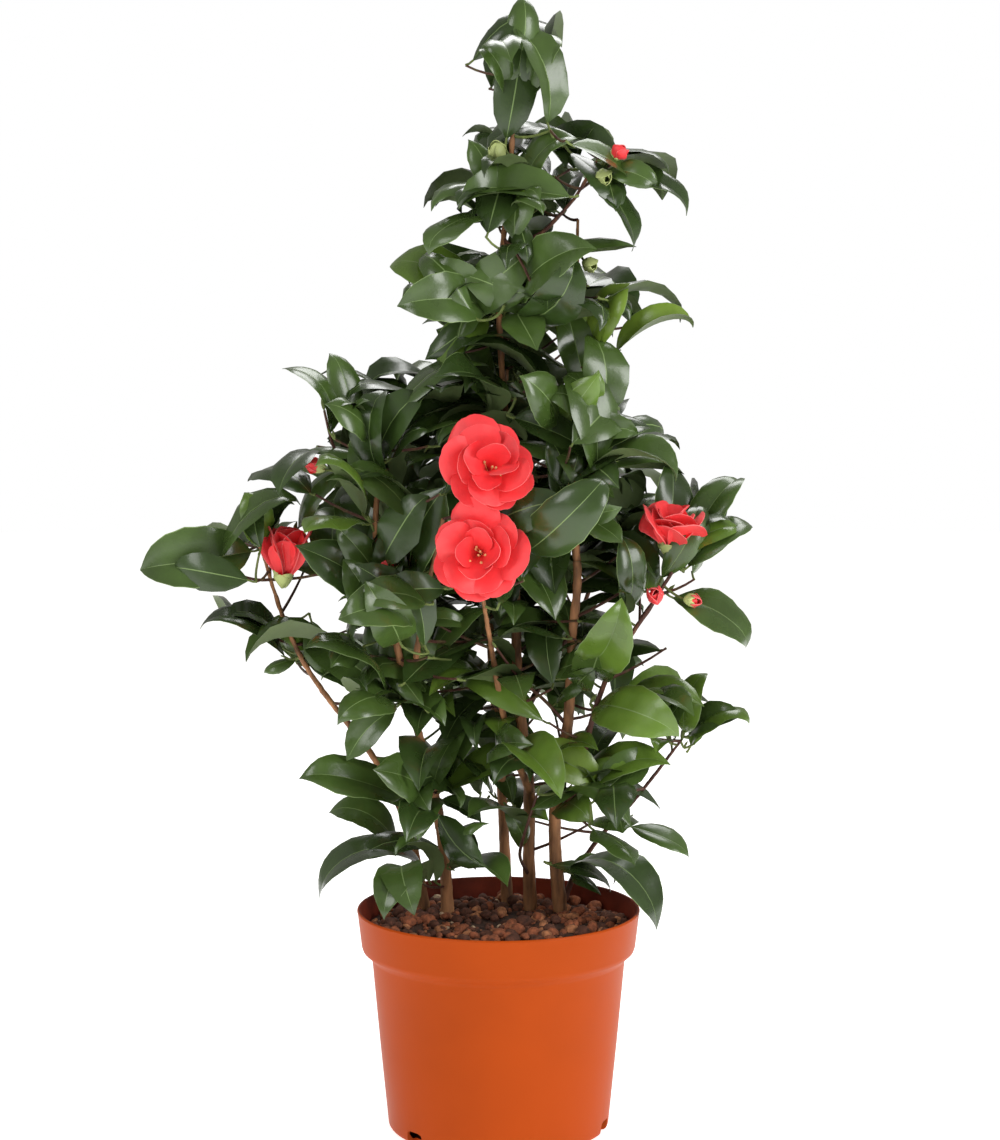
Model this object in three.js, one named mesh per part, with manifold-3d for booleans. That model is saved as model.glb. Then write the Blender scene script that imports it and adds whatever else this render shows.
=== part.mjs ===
// Camellia shrub in a round nursery pot: pot, compost, stems, boughs and the masses of foliage and bloom.
// Millimetres, +Z up. The origin is the centre of the pot's flat underside.
import * as THREE from 'three';
import { mergeVertices } from 'three/addons/utils/BufferGeometryUtils.js';
import Module from 'manifold-3d';

const wasm = await Module();
wasm.setup();

// ---------------------------------------------------------------- driving dimensions

const CLEAR = 0.4; // gap kept wherever one piece is cut by another

const POT = {
  height: 190,
  baseRadius: 95,
  bodyTopRadius: 108.5,
  collarRadius: 117,
  lipRadius: 121,
  collarHeight: 34, // from the lip down to the collar's lower edge
  collarStep: 8, // height of the slope under the collar
  cornerRadius: 5, // round between the wall and the underside
  wall: 2,
  floor: 3,
  segments: 24,
};

// Drainage arches round the base.
const NOTCH = { count: 6, width: 17, height: 10, reach: 20, firstAngle: 12 };

const COMPOST = { rimHeight: 173, crownHeight: 177, crownRadius: 62 };

const LIMB = { sides: 6, stepLength: 40, flareLength: 26, flare: 0.35 };

const MASS = {
  arch: 0.15, // how far a lobe rises over the straight line to its tip, as a part of its length
  unevenness: 0.11, // how far the surface wanders from a smooth egg, as a part of its radius
  standOff: 18, // how far from its limb's axis a one-sided mass gathers
  overlap: 10, // how far behind that point its lobes start, so that they join
  around: 5, // faces round a lobe
  along: 4, // faces from a lobe's root to its tip
};

const COLOUR = {
  pot: 0xc0562a,
  compost: 0x4a2c1e,
  stem: 0x9a6a45,
  twig: 0x5d2f22,
  leaf: 0x33502a,
  youngLeaf: 0x55782c,
  bloom: 0xe23b42,
};

const FINISH = {
  pot: { color: COLOUR.pot, roughness: 0.45, metalness: 0 },
  compost: { color: COLOUR.compost, roughness: 0.95, metalness: 0 },
  stem: { color: COLOUR.stem, roughness: 0.8, metalness: 0 },
  twig: { color: COLOUR.twig, roughness: 0.7, metalness: 0 },
  leaf: { color: COLOUR.leaf, roughness: 0.35, metalness: 0 },
  youngLeaf: { color: COLOUR.youngLeaf, roughness: 0.35, metalness: 0 },
  bloom: { color: COLOUR.bloom, roughness: 0.5, metalness: 0 },
};

// Stems rise from the compost and boughs from a stem. Each follows a few guide points from foot to tip.
const LIMBS = [
  { name: 'centre_stem', finish: 'stem', foot: 5.6, tip: 1.3, guide: [
    [28, 50, 170], [26, 45, 245], [29, 40, 280], [17, 32, 360], [15, 25, 452], [11, 20, 538],
    [1, 5, 682], [0, 0, 744], [9, 0, 775], [11, 0, 848], [18, 0, 913]] },
  { name: 'east_stem', finish: 'stem', foot: 6, tip: 1.3, guide: [
    [55, 41, 170], [49, 35, 225], [48, 30, 271], [58, 20, 328], [62, 10, 376], [61, 0, 424],
    [69, -10, 473], [61, -20, 523], [60, -15, 583], [65, 0, 645], [66, 5, 776]] },
  { name: 'west_stem', finish: 'stem', foot: 5.2, tip: 1.5, guide: [
    [-44, 36, 170], [-48, 25, 245], [-56, 15, 291], [-69, 5, 342], [-88, -15, 429],
    [-104, -30, 513], [-99, -30, 559], [-94, -25, 616]] },
  { name: 'far_west_stem', finish: 'stem', foot: 4, tip: 1.3, guide: [
    [-64, 58, 170], [-77, 50, 244], [-108, 40, 314], [-137, 30, 353], [-168, 20, 399],
    [-190, 5, 460], [-201, 0, 503]] },
  { name: 'far_east_stem', finish: 'twig', foot: 2.4, tip: 1.2, guide: [
    [55, 82, 170], [76, 70, 221], [111, 55, 263], [134, 45, 294], [158, 30, 330]] },
  { name: 'back_stem', finish: 'stem', foot: 5, tip: 1.4, guide: [
    [8, 72, 170], [2, 86, 290], [-8, 98, 420], [-4, 92, 540], [8, 66, 650]] },
  { name: 'west_bough', finish: 'stem', foot: 3.2, tip: 1.5, guide: [
    [-69, 5, 342], [-70, -14, 400], [-61, -35, 459], [-45, -62, 530]] },
  { name: 'front_bough', finish: 'stem', foot: 3.6, tip: 1.5, guide: [
    [29, 40, 280], [19, 25, 305], [7, 10, 341], [0, -5, 378], [-7, -30, 424], [-14, -60, 470]] },
  { name: 'east_bough', finish: 'twig', foot: 3.2, tip: 1.5, guide: [
    [48, 30, 260], [66, 20, 279], [75, 0, 336], [95, -15, 400], [125, -20, 447], [150, -20, 488]] },
  { name: 'upper_bough', finish: 'twig', foot: 1.8, tip: 1.1, guide: [
    [2, 0, 748], [22, -5, 753], [49, -8, 773], [74, -8, 807], [84, -8, 826]] },
  { name: 'back_east_bough', finish: 'twig', foot: 3, tip: 1.4, guide: [
    [1, 88, 305], [40, 112, 370], [78, 118, 440], [96, 104, 510]] },
  { name: 'back_west_bough', finish: 'twig', foot: 3, tip: 1.4, guide: [
    [-4, 93, 355], [-46, 112, 420], [-84, 108, 490], [-100, 90, 560]] },
];

// Foliage leaves its limb at a part of the limb's length.
// A lobe is [tip x, y, z, width, depth], with an arch of its own where it has one.
const FOLIAGE = [
  { name: 'far_left_leaf', limb: 'far_west_stem', at: 0.98, lobes: [[-300, -16, 472, 54, 18, 0.22]] },
  { name: 'top_tuft', limb: 'centre_stem', at: 0.94, lobes: [
    [20, 0, 957, 46, 36], [-14, -6, 912, 30, 30], [51, 8, 926, 28, 28], [44, -8, 878, 32, 26],
    [8, 42, 922, 34, 28]] },
  { name: 'upper_ring', limb: 'centre_stem', at: 0.83, lobes: [
    [-24, -4, 841, 42, 30], [-58, -38, 748, 54, 34], [37, -58, 779, 47, 34],
    [66, -4, 844, 36, 30], [6, 66, 800, 42, 32], [-26, 58, 846, 40, 30], [42, 72, 764, 46, 32]] },
  { name: 'upper_east', limb: 'upper_bough', at: 0.95, lobes: [
    [158, -6, 781, 28, 24], [131, -24, 800, 34, 28], [113, -30, 748, 37, 28]] },
  { name: 'collar', limb: 'centre_stem', at: 0.72, lobes: [
    [-81, -46, 704, 50, 32], [-90, 4, 738, 30, 28], [-52, -12, 655, 54, 34],
    [75, -56, 749, 56, 34], [34, -30, 681, 42, 32], [-8, 74, 716, 46, 34],
    [-60, 76, 700, 46, 34], [52, 84, 728, 46, 34]] },
  { name: 'east_crest', finish: 'youngLeaf', limb: 'east_stem', at: 0.81, lobes: [
    [162, -10, 688, 25, 16, 0.1], [106, -20, 722, 37, 30], [56, 44, 716, 40, 34]] },
  { name: 'mid_core_west', limb: 'centre_stem', at: 0.60, lobes: [
    [-48, -62, 650, 50, 36], [-80, -16, 586, 52, 34], [-62, 36, 632, 50, 36]] },
  { name: 'mid_core_east', limb: 'east_stem', at: 0.71, lobes: [
    [21, -74, 646, 47, 38], [83, -50, 647, 42, 34], [96, 46, 616, 50, 36]] },
  { name: 'mid_east', limb: 'east_stem', at: 0.66, lobes: [
    [127, -14, 604, 30, 28, 0.28], [143, -58, 564, 57, 34]] },
  { name: 'heart_centre', limb: 'front_bough', at: 0.98, lobes: [[80, -118, 562, 41, 26]] },
  { name: 'heart_east', limb: 'east_stem', at: 0.61, lobes: [
    [102, -46, 510, 50, 34], [41, -30, 592, 47, 34]] },
  { name: 'heart_low', limb: 'centre_stem', at: 0.45, lobes: [
    [48, -30, 445, 44, 34], [1, -10, 439, 44, 34], [42, 52, 520, 50, 38]] },
  { name: 'east_tip', limb: 'east_bough', at: 0.97, lobes: [
    [207, 16, 554, 29, 24], [217, 6, 520, 24, 22], [148, 14, 568, 34, 26]] },
  { name: 'east_droop', limb: 'east_bough', at: 0.92, lobes: [[210, -26, 420, 24, 18, 0.3]] },
  { name: 'east_narrow', limb: 'east_bough', at: 0.73, lobes: [[103, -30, 512, 25, 22, 0]] },
  { name: 'east_broad', limb: 'east_stem', at: 0.34, lobes: [
    [146, -74, 354, 44, 28, 0.28], [99, -86, 462, 37, 26], [92, -4, 428, 30, 22]] },
  { name: 'east_shelf', limb: 'far_east_stem', at: 0.97, lobes: [
    [212, 14, 348, 30, 24, 0.2], [176, 16, 388, 34, 26], [126, 8, 372, 42, 28]] },
  { name: 'south_east', limb: 'east_stem', at: 0.19, lobes: [
    [144, -10, 319, 37, 30], [82, -24, 334, 37, 30], [114, -92, 250, 46, 26]] },
  { name: 'far_east_leaf', limb: 'far_east_stem', at: 0.54, lobes: [[166, 40, 227, 24, 18, 0.22]] },
  { name: 'south_centre', finish: 'youngLeaf', limb: 'front_bough', at: 0.34, lobes: [
    [51, -92, 306, 39, 26]] },
  { name: 'south_centre_low', limb: 'centre_stem', at: 0.11, lobes: [[-24, -22, 276, 34, 26]] },
  { name: 'rim_leaf_east', limb: 'east_stem', at: 0.05, lobes: [
    [134, -22, 164, 28, 20, 0.24], [100, 48, 200, 36, 18, 0.06]] },
  { name: 'rim_leaf_west', limb: 'west_stem', at: 0.12, lobes: [
    [-154, 8, 196, 34, 22, 0.25], [-92, -78, 202, 36, 18, 0.1], [8, -40, 222, 41, 26]] },
  { name: 'upper_left_tip', limb: 'west_stem', at: 0.86, lobes: [
    [-175, -20, 650, 27, 24], [-139, -12, 663, 27, 24]] },
  { name: 'left_crown', limb: 'west_stem', at: 0.94, lobes: [
    [-138, -66, 624, 47, 34], [-50, -24, 638, 35, 32]] },
  { name: 'left_shoulder', limb: 'west_stem', at: 0.81, lobes: [
    [-144, -96, 578, 47, 32], [-158, -98, 525, 44, 30]] },
  { name: 'left_outer', limb: 'far_west_stem', at: 0.96, lobes: [
    [-213, -14, 548, 36, 28], [-132, -20, 568, 51, 32]] },
  { name: 'left_heart', limb: 'west_stem', at: 0.62, lobes: [
    [-164, -100, 505, 68, 34], [-48, -62, 554, 37, 24], [-118, 46, 556, 50, 36]] },
  { name: 'left_fold', limb: 'west_bough', at: 0.61, lobes: [[-124, -104, 453, 56, 34]] },
  { name: 'left_low', limb: 'far_west_stem', at: 0.72, lobes: [
    [-250, 2, 434, 38, 28, 0.3], [-121, 36, 372, 37, 30], [-201, 18, 391, 30, 26]] },
  { name: 'left_mid', limb: 'west_stem', at: 0.46, lobes: [
    [-155, -66, 426, 44, 30, 0.2], [-131, -70, 363, 50, 30], [-110, 44, 440, 46, 34]] },
  { name: 'west_foot', limb: 'west_stem', at: 0.25, lobes: [
    [-169, -30, 311, 24, 18, 0.3], [-98, -74, 323, 41, 26], [-75, -84, 268, 39, 26, 0]] },
  { name: 'west_foot_outer', limb: 'far_west_stem', at: 0.18, lobes: [[-146, 50, 264, 34, 28, 0.25]] },
  { name: 'inner_mid', limb: 'west_bough', at: 0.34, lobes: [
    [-11, -6, 444, 42, 32], [-18, 24, 390, 39, 30]] },
  { name: 'inner_low', limb: 'west_stem', at: 0.26, lobes: [[-10, 24, 350, 40, 30], [-14, 10, 262, 44, 28]] },
  { name: 'back_high', limb: 'back_stem', at: 0.97, lobes: [[-52, 62, 684, 51, 40], [53, 74, 690, 51, 40]] },
  { name: 'back_crown', limb: 'back_stem', at: 0.84, lobes: [
    [-61, 120, 584, 56, 42], [55, 120, 593, 56, 42], [4, 168, 540, 56, 38]] },
  { name: 'back_west', limb: 'back_west_bough', at: 0.88, lobes: [
    [-148, 86, 587, 51, 38], [-176, 106, 513, 52, 38], [-89, 150, 474, 51, 38]] },
  { name: 'back_east', limb: 'back_east_bough', at: 0.93, lobes: [
    [124, 90, 560, 51, 38], [143, 100, 452, 52, 38], [74, 150, 474, 51, 38]] },
  { name: 'back_low_west', limb: 'back_west_bough', at: 0.28, lobes: [
    [-107, 140, 439, 51, 34], [-89, 126, 358, 51, 34]] },
  { name: 'back_low_east', limb: 'back_east_bough', at: 0.42, lobes: [
    [110, 150, 392, 51, 34], [62, 140, 329, 47, 34]] },
  { name: 'back_foot', limb: 'back_stem', at: 0.21, lobes: [
    [-44, 130, 300, 47, 32], [47, 130, 262, 47, 32]] },
];

// Each open flower is a cup: where it sits, which way it opens, how wide and how deep it is.
const BLOOMS = [
  { name: 'bloom_upper', centre: [-14, -112, 575], opens: [-0.05, -0.95, 0.3],
    across: 92, tall: 74, deep: 42 },
  { name: 'bloom_lower', centre: [-22, -116, 506], opens: [-0.1, -0.97, 0.15],
    across: 86, tall: 90, deep: 42 },
  { name: 'bloom_east', centre: [146, -24, 519], opens: [0.1, -0.2, 0.97],
    across: 62, tall: 62, deep: 52 },
  { name: 'bloom_west', centre: [-178, -4, 492], opens: [0.1, -0.1, 0.98],
    across: 34, tall: 34, deep: 56 },
];

// ---------------------------------------------------------------- solids, cutting and joining

function solidOf(geometry) {
  const bare = geometry.clone();
  for (const name of ['normal', 'uv']) bare.deleteAttribute(name);
  const merged = mergeVertices(bare, 1e-3);
  return new wasm.Manifold(new wasm.Mesh({
    numProp: 3,
    vertProperties: new Float32Array(merged.attributes.position.array),
    triVerts: new Uint32Array(merged.index.array),
  }));
}

function geometryOf(solid) {
  const mesh = solid.getMesh();
  const geometry = new THREE.BufferGeometry();
  geometry.setAttribute('position', new THREE.BufferAttribute(new Float32Array(mesh.vertProperties), 3));
  geometry.setIndex(new THREE.BufferAttribute(new Uint32Array(mesh.triVerts), 1));
  geometry.computeVertexNormals();
  return geometry;
}

// A cut can leave crumbs, and a piece is one body: the largest one.
function largestBody(solid) {
  const bodies = solid.decompose();
  return bodies.reduce((best, body) => (body.volume() > best.volume() ? body : best));
}

function cutBy(solid, cutters) {
  let left = solid;
  for (const cutter of cutters) left = left.subtract(cutter);
  return largestBody(left);
}

function addMesh(group, name, solid, finish) {
  const mesh = new THREE.Mesh(geometryOf(solid), new THREE.MeshStandardMaterial(FINISH[finish]));
  mesh.name = name;
  group.add(mesh);
}

// ---------------------------------------------------------------- pot and compost

// The outside of the pot from its underside to its lip, let out by a clearance.
function potOutside(grow = 0) {
  const corner = [];
  for (let i = 0; i <= 3; i++) {
    const turn = (i / 3) * (Math.PI / 2);
    corner.push([
      POT.baseRadius - POT.cornerRadius * (1 - Math.sin(turn)) + grow,
      POT.cornerRadius * (1 - Math.cos(turn)) - grow,
    ]);
  }
  const collarBottom = POT.height - POT.collarHeight;
  return [
    ...corner,
    [POT.bodyTopRadius + grow, collarBottom - POT.collarStep],
    [POT.collarRadius - 2 + grow, collarBottom - 2],
    [POT.collarRadius + grow, collarBottom + 2],
    [POT.lipRadius + grow, POT.height - 2],
    [POT.lipRadius - 1 + grow, POT.height + grow],
  ];
}

function potInside() {
  const collarBottom = POT.height - POT.collarHeight;
  return [
    [POT.lipRadius - 1 - POT.wall, POT.height],
    [POT.collarRadius - POT.wall, collarBottom + 2],
    [POT.bodyTopRadius - POT.wall, collarBottom - POT.collarStep],
    [POT.baseRadius - POT.wall, POT.cornerRadius + 2],
    [POT.baseRadius - POT.wall - 4, POT.floor],
  ];
}

function turned(profile) {
  const onAxis = [[0, profile[0][1]], ...profile, [0, profile.at(-1)[1]]];
  const points = onAxis.map(([radius, height]) => new THREE.Vector2(radius, height));
  return new THREE.LatheGeometry(points, POT.segments).rotateX(Math.PI / 2);
}

function notchCutter(angle) {
  const half = NOTCH.width / 2;
  const arch = new THREE.Shape();
  arch.moveTo(-half, -2);
  arch.lineTo(half, -2);
  arch.lineTo(half, NOTCH.height * 0.55);
  arch.lineTo(half * 0.55, NOTCH.height);
  arch.lineTo(-half * 0.55, NOTCH.height);
  arch.lineTo(-half, NOTCH.height * 0.55);
  const bar = new THREE.ExtrudeGeometry(arch, { depth: NOTCH.reach, bevelEnabled: false });
  bar.rotateX(Math.PI / 2);
  bar.translate(0, -(POT.baseRadius - NOTCH.reach + 8), 0);
  bar.rotateZ(THREE.MathUtils.degToRad(angle));
  return solidOf(bar);
}

function potSolid() {
  const spacing = 360 / NOTCH.count;
  const notches = Array.from({ length: NOTCH.count }, (_, i) => notchCutter(NOTCH.firstAngle + spacing * i));
  return cutBy(solidOf(turned([...potOutside(), ...potInside()])), notches);
}

// The compost fills the pot to a low mound, standing off the pot's wall and floor by the clearance.
function compostSolid(grow = 0) {
  const inset = CLEAR - grow;
  const [lip, ledge, shoulder, heel, toe] = potInside();
  const upCollar = (COMPOST.rimHeight - ledge[1]) / (lip[1] - ledge[1]);
  return solidOf(turned([
    [toe[0] - inset, toe[1] + inset],
    [heel[0] - inset, heel[1] + inset],
    [shoulder[0] - inset, shoulder[1]],
    [ledge[0] - inset, ledge[1] + inset],
    [ledge[0] + (lip[0] - ledge[0]) * upCollar - inset, COMPOST.rimHeight + grow],
    [COMPOST.crownRadius, COMPOST.crownHeight + grow],
  ]));
}

// ---------------------------------------------------------------- stems and boughs

const limbCurves = new Map(LIMBS.map(({ name, guide }) => [
  name,
  new THREE.CatmullRomCurve3(guide.map((point) => new THREE.Vector3(...point)), false, 'centripetal'),
]));

// A straight tapered bar, flared at its foot, is bent along the limb's curve.
function limbSolid({ name, foot, tip }, grow = 0) {
  const curve = limbCurves.get(name);
  const length = curve.getLength();
  const steps = Math.ceil(length / LIMB.stepLength);
  const frames = curve.computeFrenetFrames(steps, false);
  const bar = new THREE.CylinderGeometry(1, 1, 1, LIMB.sides, steps);
  const position = bar.attributes.position;
  const point = new THREE.Vector3();
  for (let i = 0; i < position.count; i++) {
    const along = position.getY(i) + 0.5;
    const ring = Math.round(along * steps);
    const flare = 1 + LIMB.flare * Math.exp((-along * length) / LIMB.flareLength);
    const radius = (foot + (tip - foot) * along) * flare + grow;
    curve.getPointAt(along, point);
    point.addScaledVector(frames.normals[ring], position.getX(i) * radius);
    point.addScaledVector(frames.binormals[ring], -position.getZ(i) * radius);
    position.setXYZ(i, point.x, point.y, point.z);
  }
  const solid = solidOf(bar);
  if (solid.volume() > 0) return solid;
  bar.index.array.reverse();
  return solidOf(bar);
}

// ---------------------------------------------------------------- foliage and blooms

function wander(direction, seed) {
  const { x, y, z } = direction;
  return (
    Math.sin(2.3 * x + 1.7 * seed) * Math.cos(2.9 * y - 0.6 * seed) +
    0.6 * Math.sin(4.1 * z + 2.2 * x + 0.9 * seed) +
    0.5 * Math.cos(3.7 * y - 3.1 * z + 1.3 * seed)
  );
}

// An uneven egg with its long axis from one point to another, flattened along its facing direction.
function egg(from, to, { width, depth, facing, arch = 0, seed, grow }) {
  const axis = to.clone().sub(from);
  const halfLength = axis.length() / 2;
  axis.normalize();
  const side = new THREE.Vector3().crossVectors(facing, axis).normalize();
  const up = new THREE.Vector3().crossVectors(axis, side);
  const ball = new THREE.SphereGeometry(1, MASS.around, MASS.along).rotateZ(-Math.PI / 2);
  const toAxes = new THREE.Matrix4().makeBasis(axis, side, up);
  const rise = new THREE.Vector3(0, 0, 1).addScaledVector(axis, -axis.z);
  rise.multiplyScalar(2 * halfLength * arch);
  const position = ball.attributes.position;
  const direction = new THREE.Vector3();
  const centre = from.clone().lerp(to, 0.5);
  for (let i = 0; i < position.count; i++) {
    direction.fromBufferAttribute(position, i);
    const sideways = 1 - direction.x * direction.x;
    direction.multiplyScalar(1 + MASS.unevenness * wander(direction, seed) * (0.3 + 0.7 * sideways));
    direction.x *= halfLength + grow;
    direction.y *= width / 2 + grow;
    direction.z *= depth / 2 + grow;
    direction.applyMatrix4(toAxes).add(centre).addScaledVector(rise, sideways);
    position.setXYZ(i, direction.x, direction.y, direction.z);
  }
  return solidOf(ball);
}

// Foliage faces up and out, to the nearer of the front and the back.
function facingOf(point) {
  return new THREE.Vector3(0.15 * Math.sign(point.x), point.y > 55 ? 0.6 : -0.7, 0.7);
}

function foliageSolid({ limb, at, lobes }, seed, grow = 0) {
  const root = limbCurves.get(limb).getPointAt(at);
  const tips = lobes.map(([x, y, z]) => new THREE.Vector3(x, y, z));
  const lean = new THREE.Vector3();
  for (const tip of tips) lean.addScaledVector(tip.clone().sub(root).normalize(), 1 / tips.length);
  const hub = root.clone().addScaledVector(lean, MASS.standOff);
  const behind = lobes.length > 1 ? MASS.overlap : 0;
  const eggs = lobes.map(([, , , width, depth, arch = MASS.arch], i) => {
    const outward = tips[i].clone().sub(hub).normalize();
    const start = hub.clone().addScaledVector(outward, -behind);
    const facing = facingOf(tips[i]);
    return egg(start, tips[i], { width, depth, facing, arch, seed: seed + 0.7 * i, grow });
  });
  return eggs.reduce((whole, lobe) => whole.add(lobe));
}

function bloomSolid({ centre, opens, across, tall, deep }, seed, grow = 0) {
  const middle = new THREE.Vector3(...centre);
  const outward = new THREE.Vector3(...opens).normalize();
  const base = middle.clone().addScaledVector(outward, -deep / 2);
  const mouth = middle.clone().addScaledVector(outward, deep / 2);
  const facing = Math.abs(outward.z) > 0.8 ? new THREE.Vector3(0, -1, 0) : new THREE.Vector3(0, 0, 1);
  return egg(base, mouth, { width: across, depth: tall, facing, seed, grow });
}

// ---------------------------------------------------------------- the whole plant

function build() {
  const plant = new THREE.Group();
  addMesh(plant, 'pot', potSolid(), 'pot');
  addMesh(plant, 'compost', compostSolid(), 'compost');

  const keepClear = [compostSolid(CLEAR)];
  for (const limb of LIMBS) {
    addMesh(plant, limb.name, cutBy(limbSolid(limb), keepClear), limb.finish);
    keepClear.push(limbSolid(limb, CLEAR));
  }
  keepClear.push(solidOf(turned(potOutside(CLEAR))));

  const masses = [
    ...BLOOMS.map((bloom) => ({ ...bloom, finish: 'bloom', solid: bloomSolid })),
    ...FOLIAGE.map((mass) => ({ finish: 'leaf', ...mass, solid: foliageSolid })),
  ];
  masses.forEach((mass, i) => {
    const seed = i + 1;
    addMesh(plant, mass.name, cutBy(mass.solid(mass, seed), keepClear), mass.finish);
    keepClear.push(mass.solid(mass, seed, CLEAR));
  });
  return plant;
}

export default build();
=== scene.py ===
"""Potted camellia shrub: leaves, blooms, bark and pot built round the packed frame."""

import math

import bpy
import numpy as np
from mathutils import Matrix, Vector, noise
from mathutils.bvhtree import BVHTree


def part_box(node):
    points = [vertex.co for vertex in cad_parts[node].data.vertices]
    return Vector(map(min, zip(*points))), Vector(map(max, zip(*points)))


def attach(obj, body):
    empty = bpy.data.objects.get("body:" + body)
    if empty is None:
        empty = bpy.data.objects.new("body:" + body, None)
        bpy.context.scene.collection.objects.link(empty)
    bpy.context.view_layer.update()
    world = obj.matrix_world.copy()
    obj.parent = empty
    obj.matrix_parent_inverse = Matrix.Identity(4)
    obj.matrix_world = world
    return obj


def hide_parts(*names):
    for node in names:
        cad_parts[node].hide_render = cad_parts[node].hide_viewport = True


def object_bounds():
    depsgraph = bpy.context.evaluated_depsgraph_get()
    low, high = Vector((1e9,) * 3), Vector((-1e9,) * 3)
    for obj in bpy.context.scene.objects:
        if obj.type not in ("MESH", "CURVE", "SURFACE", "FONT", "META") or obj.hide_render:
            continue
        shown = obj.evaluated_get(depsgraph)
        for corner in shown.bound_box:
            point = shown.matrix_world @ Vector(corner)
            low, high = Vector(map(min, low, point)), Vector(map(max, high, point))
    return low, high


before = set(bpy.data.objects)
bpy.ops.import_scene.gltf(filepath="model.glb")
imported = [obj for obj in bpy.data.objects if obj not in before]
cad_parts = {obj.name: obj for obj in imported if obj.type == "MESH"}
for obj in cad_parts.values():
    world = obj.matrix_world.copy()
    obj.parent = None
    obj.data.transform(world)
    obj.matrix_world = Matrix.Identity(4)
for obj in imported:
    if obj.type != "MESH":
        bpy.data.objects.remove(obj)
CAD_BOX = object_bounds()

bl_info = {
    "name": "Potted camellia",
    "version": (1, 0, 0),
    "blender": (4, 5, 0),
    "location": "3D View > Sidebar > Camellia",
    "description": "Builds a potted camellia shrub round its packed frame",
    "category": "Add Mesh",
}

STEMS = ("centre_stem", "east_stem", "west_stem", "far_west_stem", "back_stem", "west_bough",
         "front_bough")
BOUGHS = ("far_east_stem", "east_bough", "upper_bough", "back_east_bough", "back_west_bough")
PARENTS = {
    "west_bough": "west_stem",
    "front_bough": "centre_stem",
    "east_bough": "east_stem",
    "upper_bough": "centre_stem",
    "back_east_bough": "back_stem",
    "back_west_bough": "back_stem",
}

# Each mass of foliage: the limb that carries it, where along that limb it grows (0 foot, 1 tip), its tone.
MASSES = {
    "far_left_leaf": ("far_west_stem", 0.98, "mid"),
    "top_tuft": ("centre_stem", 0.94, "mid"),
    "upper_ring": ("centre_stem", 0.83, "mixed"),
    "upper_east": ("upper_bough", 0.95, "mixed"),
    "collar": ("centre_stem", 0.72, "mixed"),
    "east_crest": ("east_stem", 0.81, "young"),
    "mid_core_west": ("centre_stem", 0.60, "deep"),
    "mid_core_east": ("east_stem", 0.71, "bright"),
    "mid_east": ("east_stem", 0.66, "deep"),
    "heart_centre": ("front_bough", 0.98, "deep"),
    "heart_east": ("east_stem", 0.61, "deep"),
    "heart_low": ("centre_stem", 0.45, "deep"),
    "east_tip": ("east_bough", 0.97, "mixed"),
    "east_droop": ("east_bough", 0.92, "mid"),
    "east_narrow": ("east_bough", 0.73, "deep"),
    "east_broad": ("east_stem", 0.34, "bright"),
    "east_shelf": ("far_east_stem", 0.97, "bright"),
    "south_east": ("east_stem", 0.19, "bright"),
    "far_east_leaf": ("far_east_stem", 0.54, "mid"),
    "south_centre": ("front_bough", 0.34, "young"),
    "south_centre_low": ("centre_stem", 0.11, "mid"),
    "rim_leaf_east": ("east_stem", 0.05, "mixed"),
    "rim_leaf_west": ("west_stem", 0.12, "mid"),
    "upper_left_tip": ("west_stem", 0.86, "mid"),
    "left_crown": ("west_stem", 0.94, "deep"),
    "left_shoulder": ("west_stem", 0.81, "mixed"),
    "left_outer": ("far_west_stem", 0.96, "mixed"),
    "left_heart": ("west_stem", 0.62, "deep"),
    "left_fold": ("west_bough", 0.61, "mid"),
    "left_low": ("far_west_stem", 0.72, "mixed"),
    "left_mid": ("west_stem", 0.46, "mixed"),
    "west_foot": ("west_stem", 0.25, "mid"),
    "west_foot_outer": ("far_west_stem", 0.18, "mid"),
    "inner_mid": ("west_bough", 0.34, "mixed"),
    "inner_low": ("west_stem", 0.26, "mixed"),
    "back_high": ("back_stem", 0.97, "mixed"),
    "back_crown": ("back_stem", 0.84, "deep"),
    "back_west": ("back_west_bough", 0.88, "deep"),
    "back_east": ("back_east_bough", 0.93, "deep"),
    "back_low_west": ("back_stem", 0.28, "deep"),
    "back_low_east": ("back_stem", 0.42, "deep"),
    "back_foot": ("back_stem", 0.21, "mixed"),
}
YOUNG = ("east_crest", "south_centre")
# Masses whose leaves hang with their tops turned well to the front.
FACED = ("far_left_leaf", "left_heart", "left_fold", "heart_centre", "heart_east", "south_centre",
         "west_foot", "east_broad", "collar", "mid_core_east")

# Each bloom: the way it opens, how far its outer petals lie back, its petals by whorl, and the length of its
# outer petals as a part of the width of its place.
BLOOMS = {
    "bloom_upper": ((0.12, -0.92, 0.36), 1.00, (7, 5, 4), 0.67),
    "bloom_lower": ((-0.14, -0.97, 0.12), 1.00, (7, 5, 4), 0.63),
    "bloom_east": ((0.06, -0.26, 0.96), 0.66, (6, 6, 5), 0.76),
    "bloom_west": ((0.12, -0.12, 0.98), 0.30, (5, 5, 3), 0.86),
}

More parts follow.
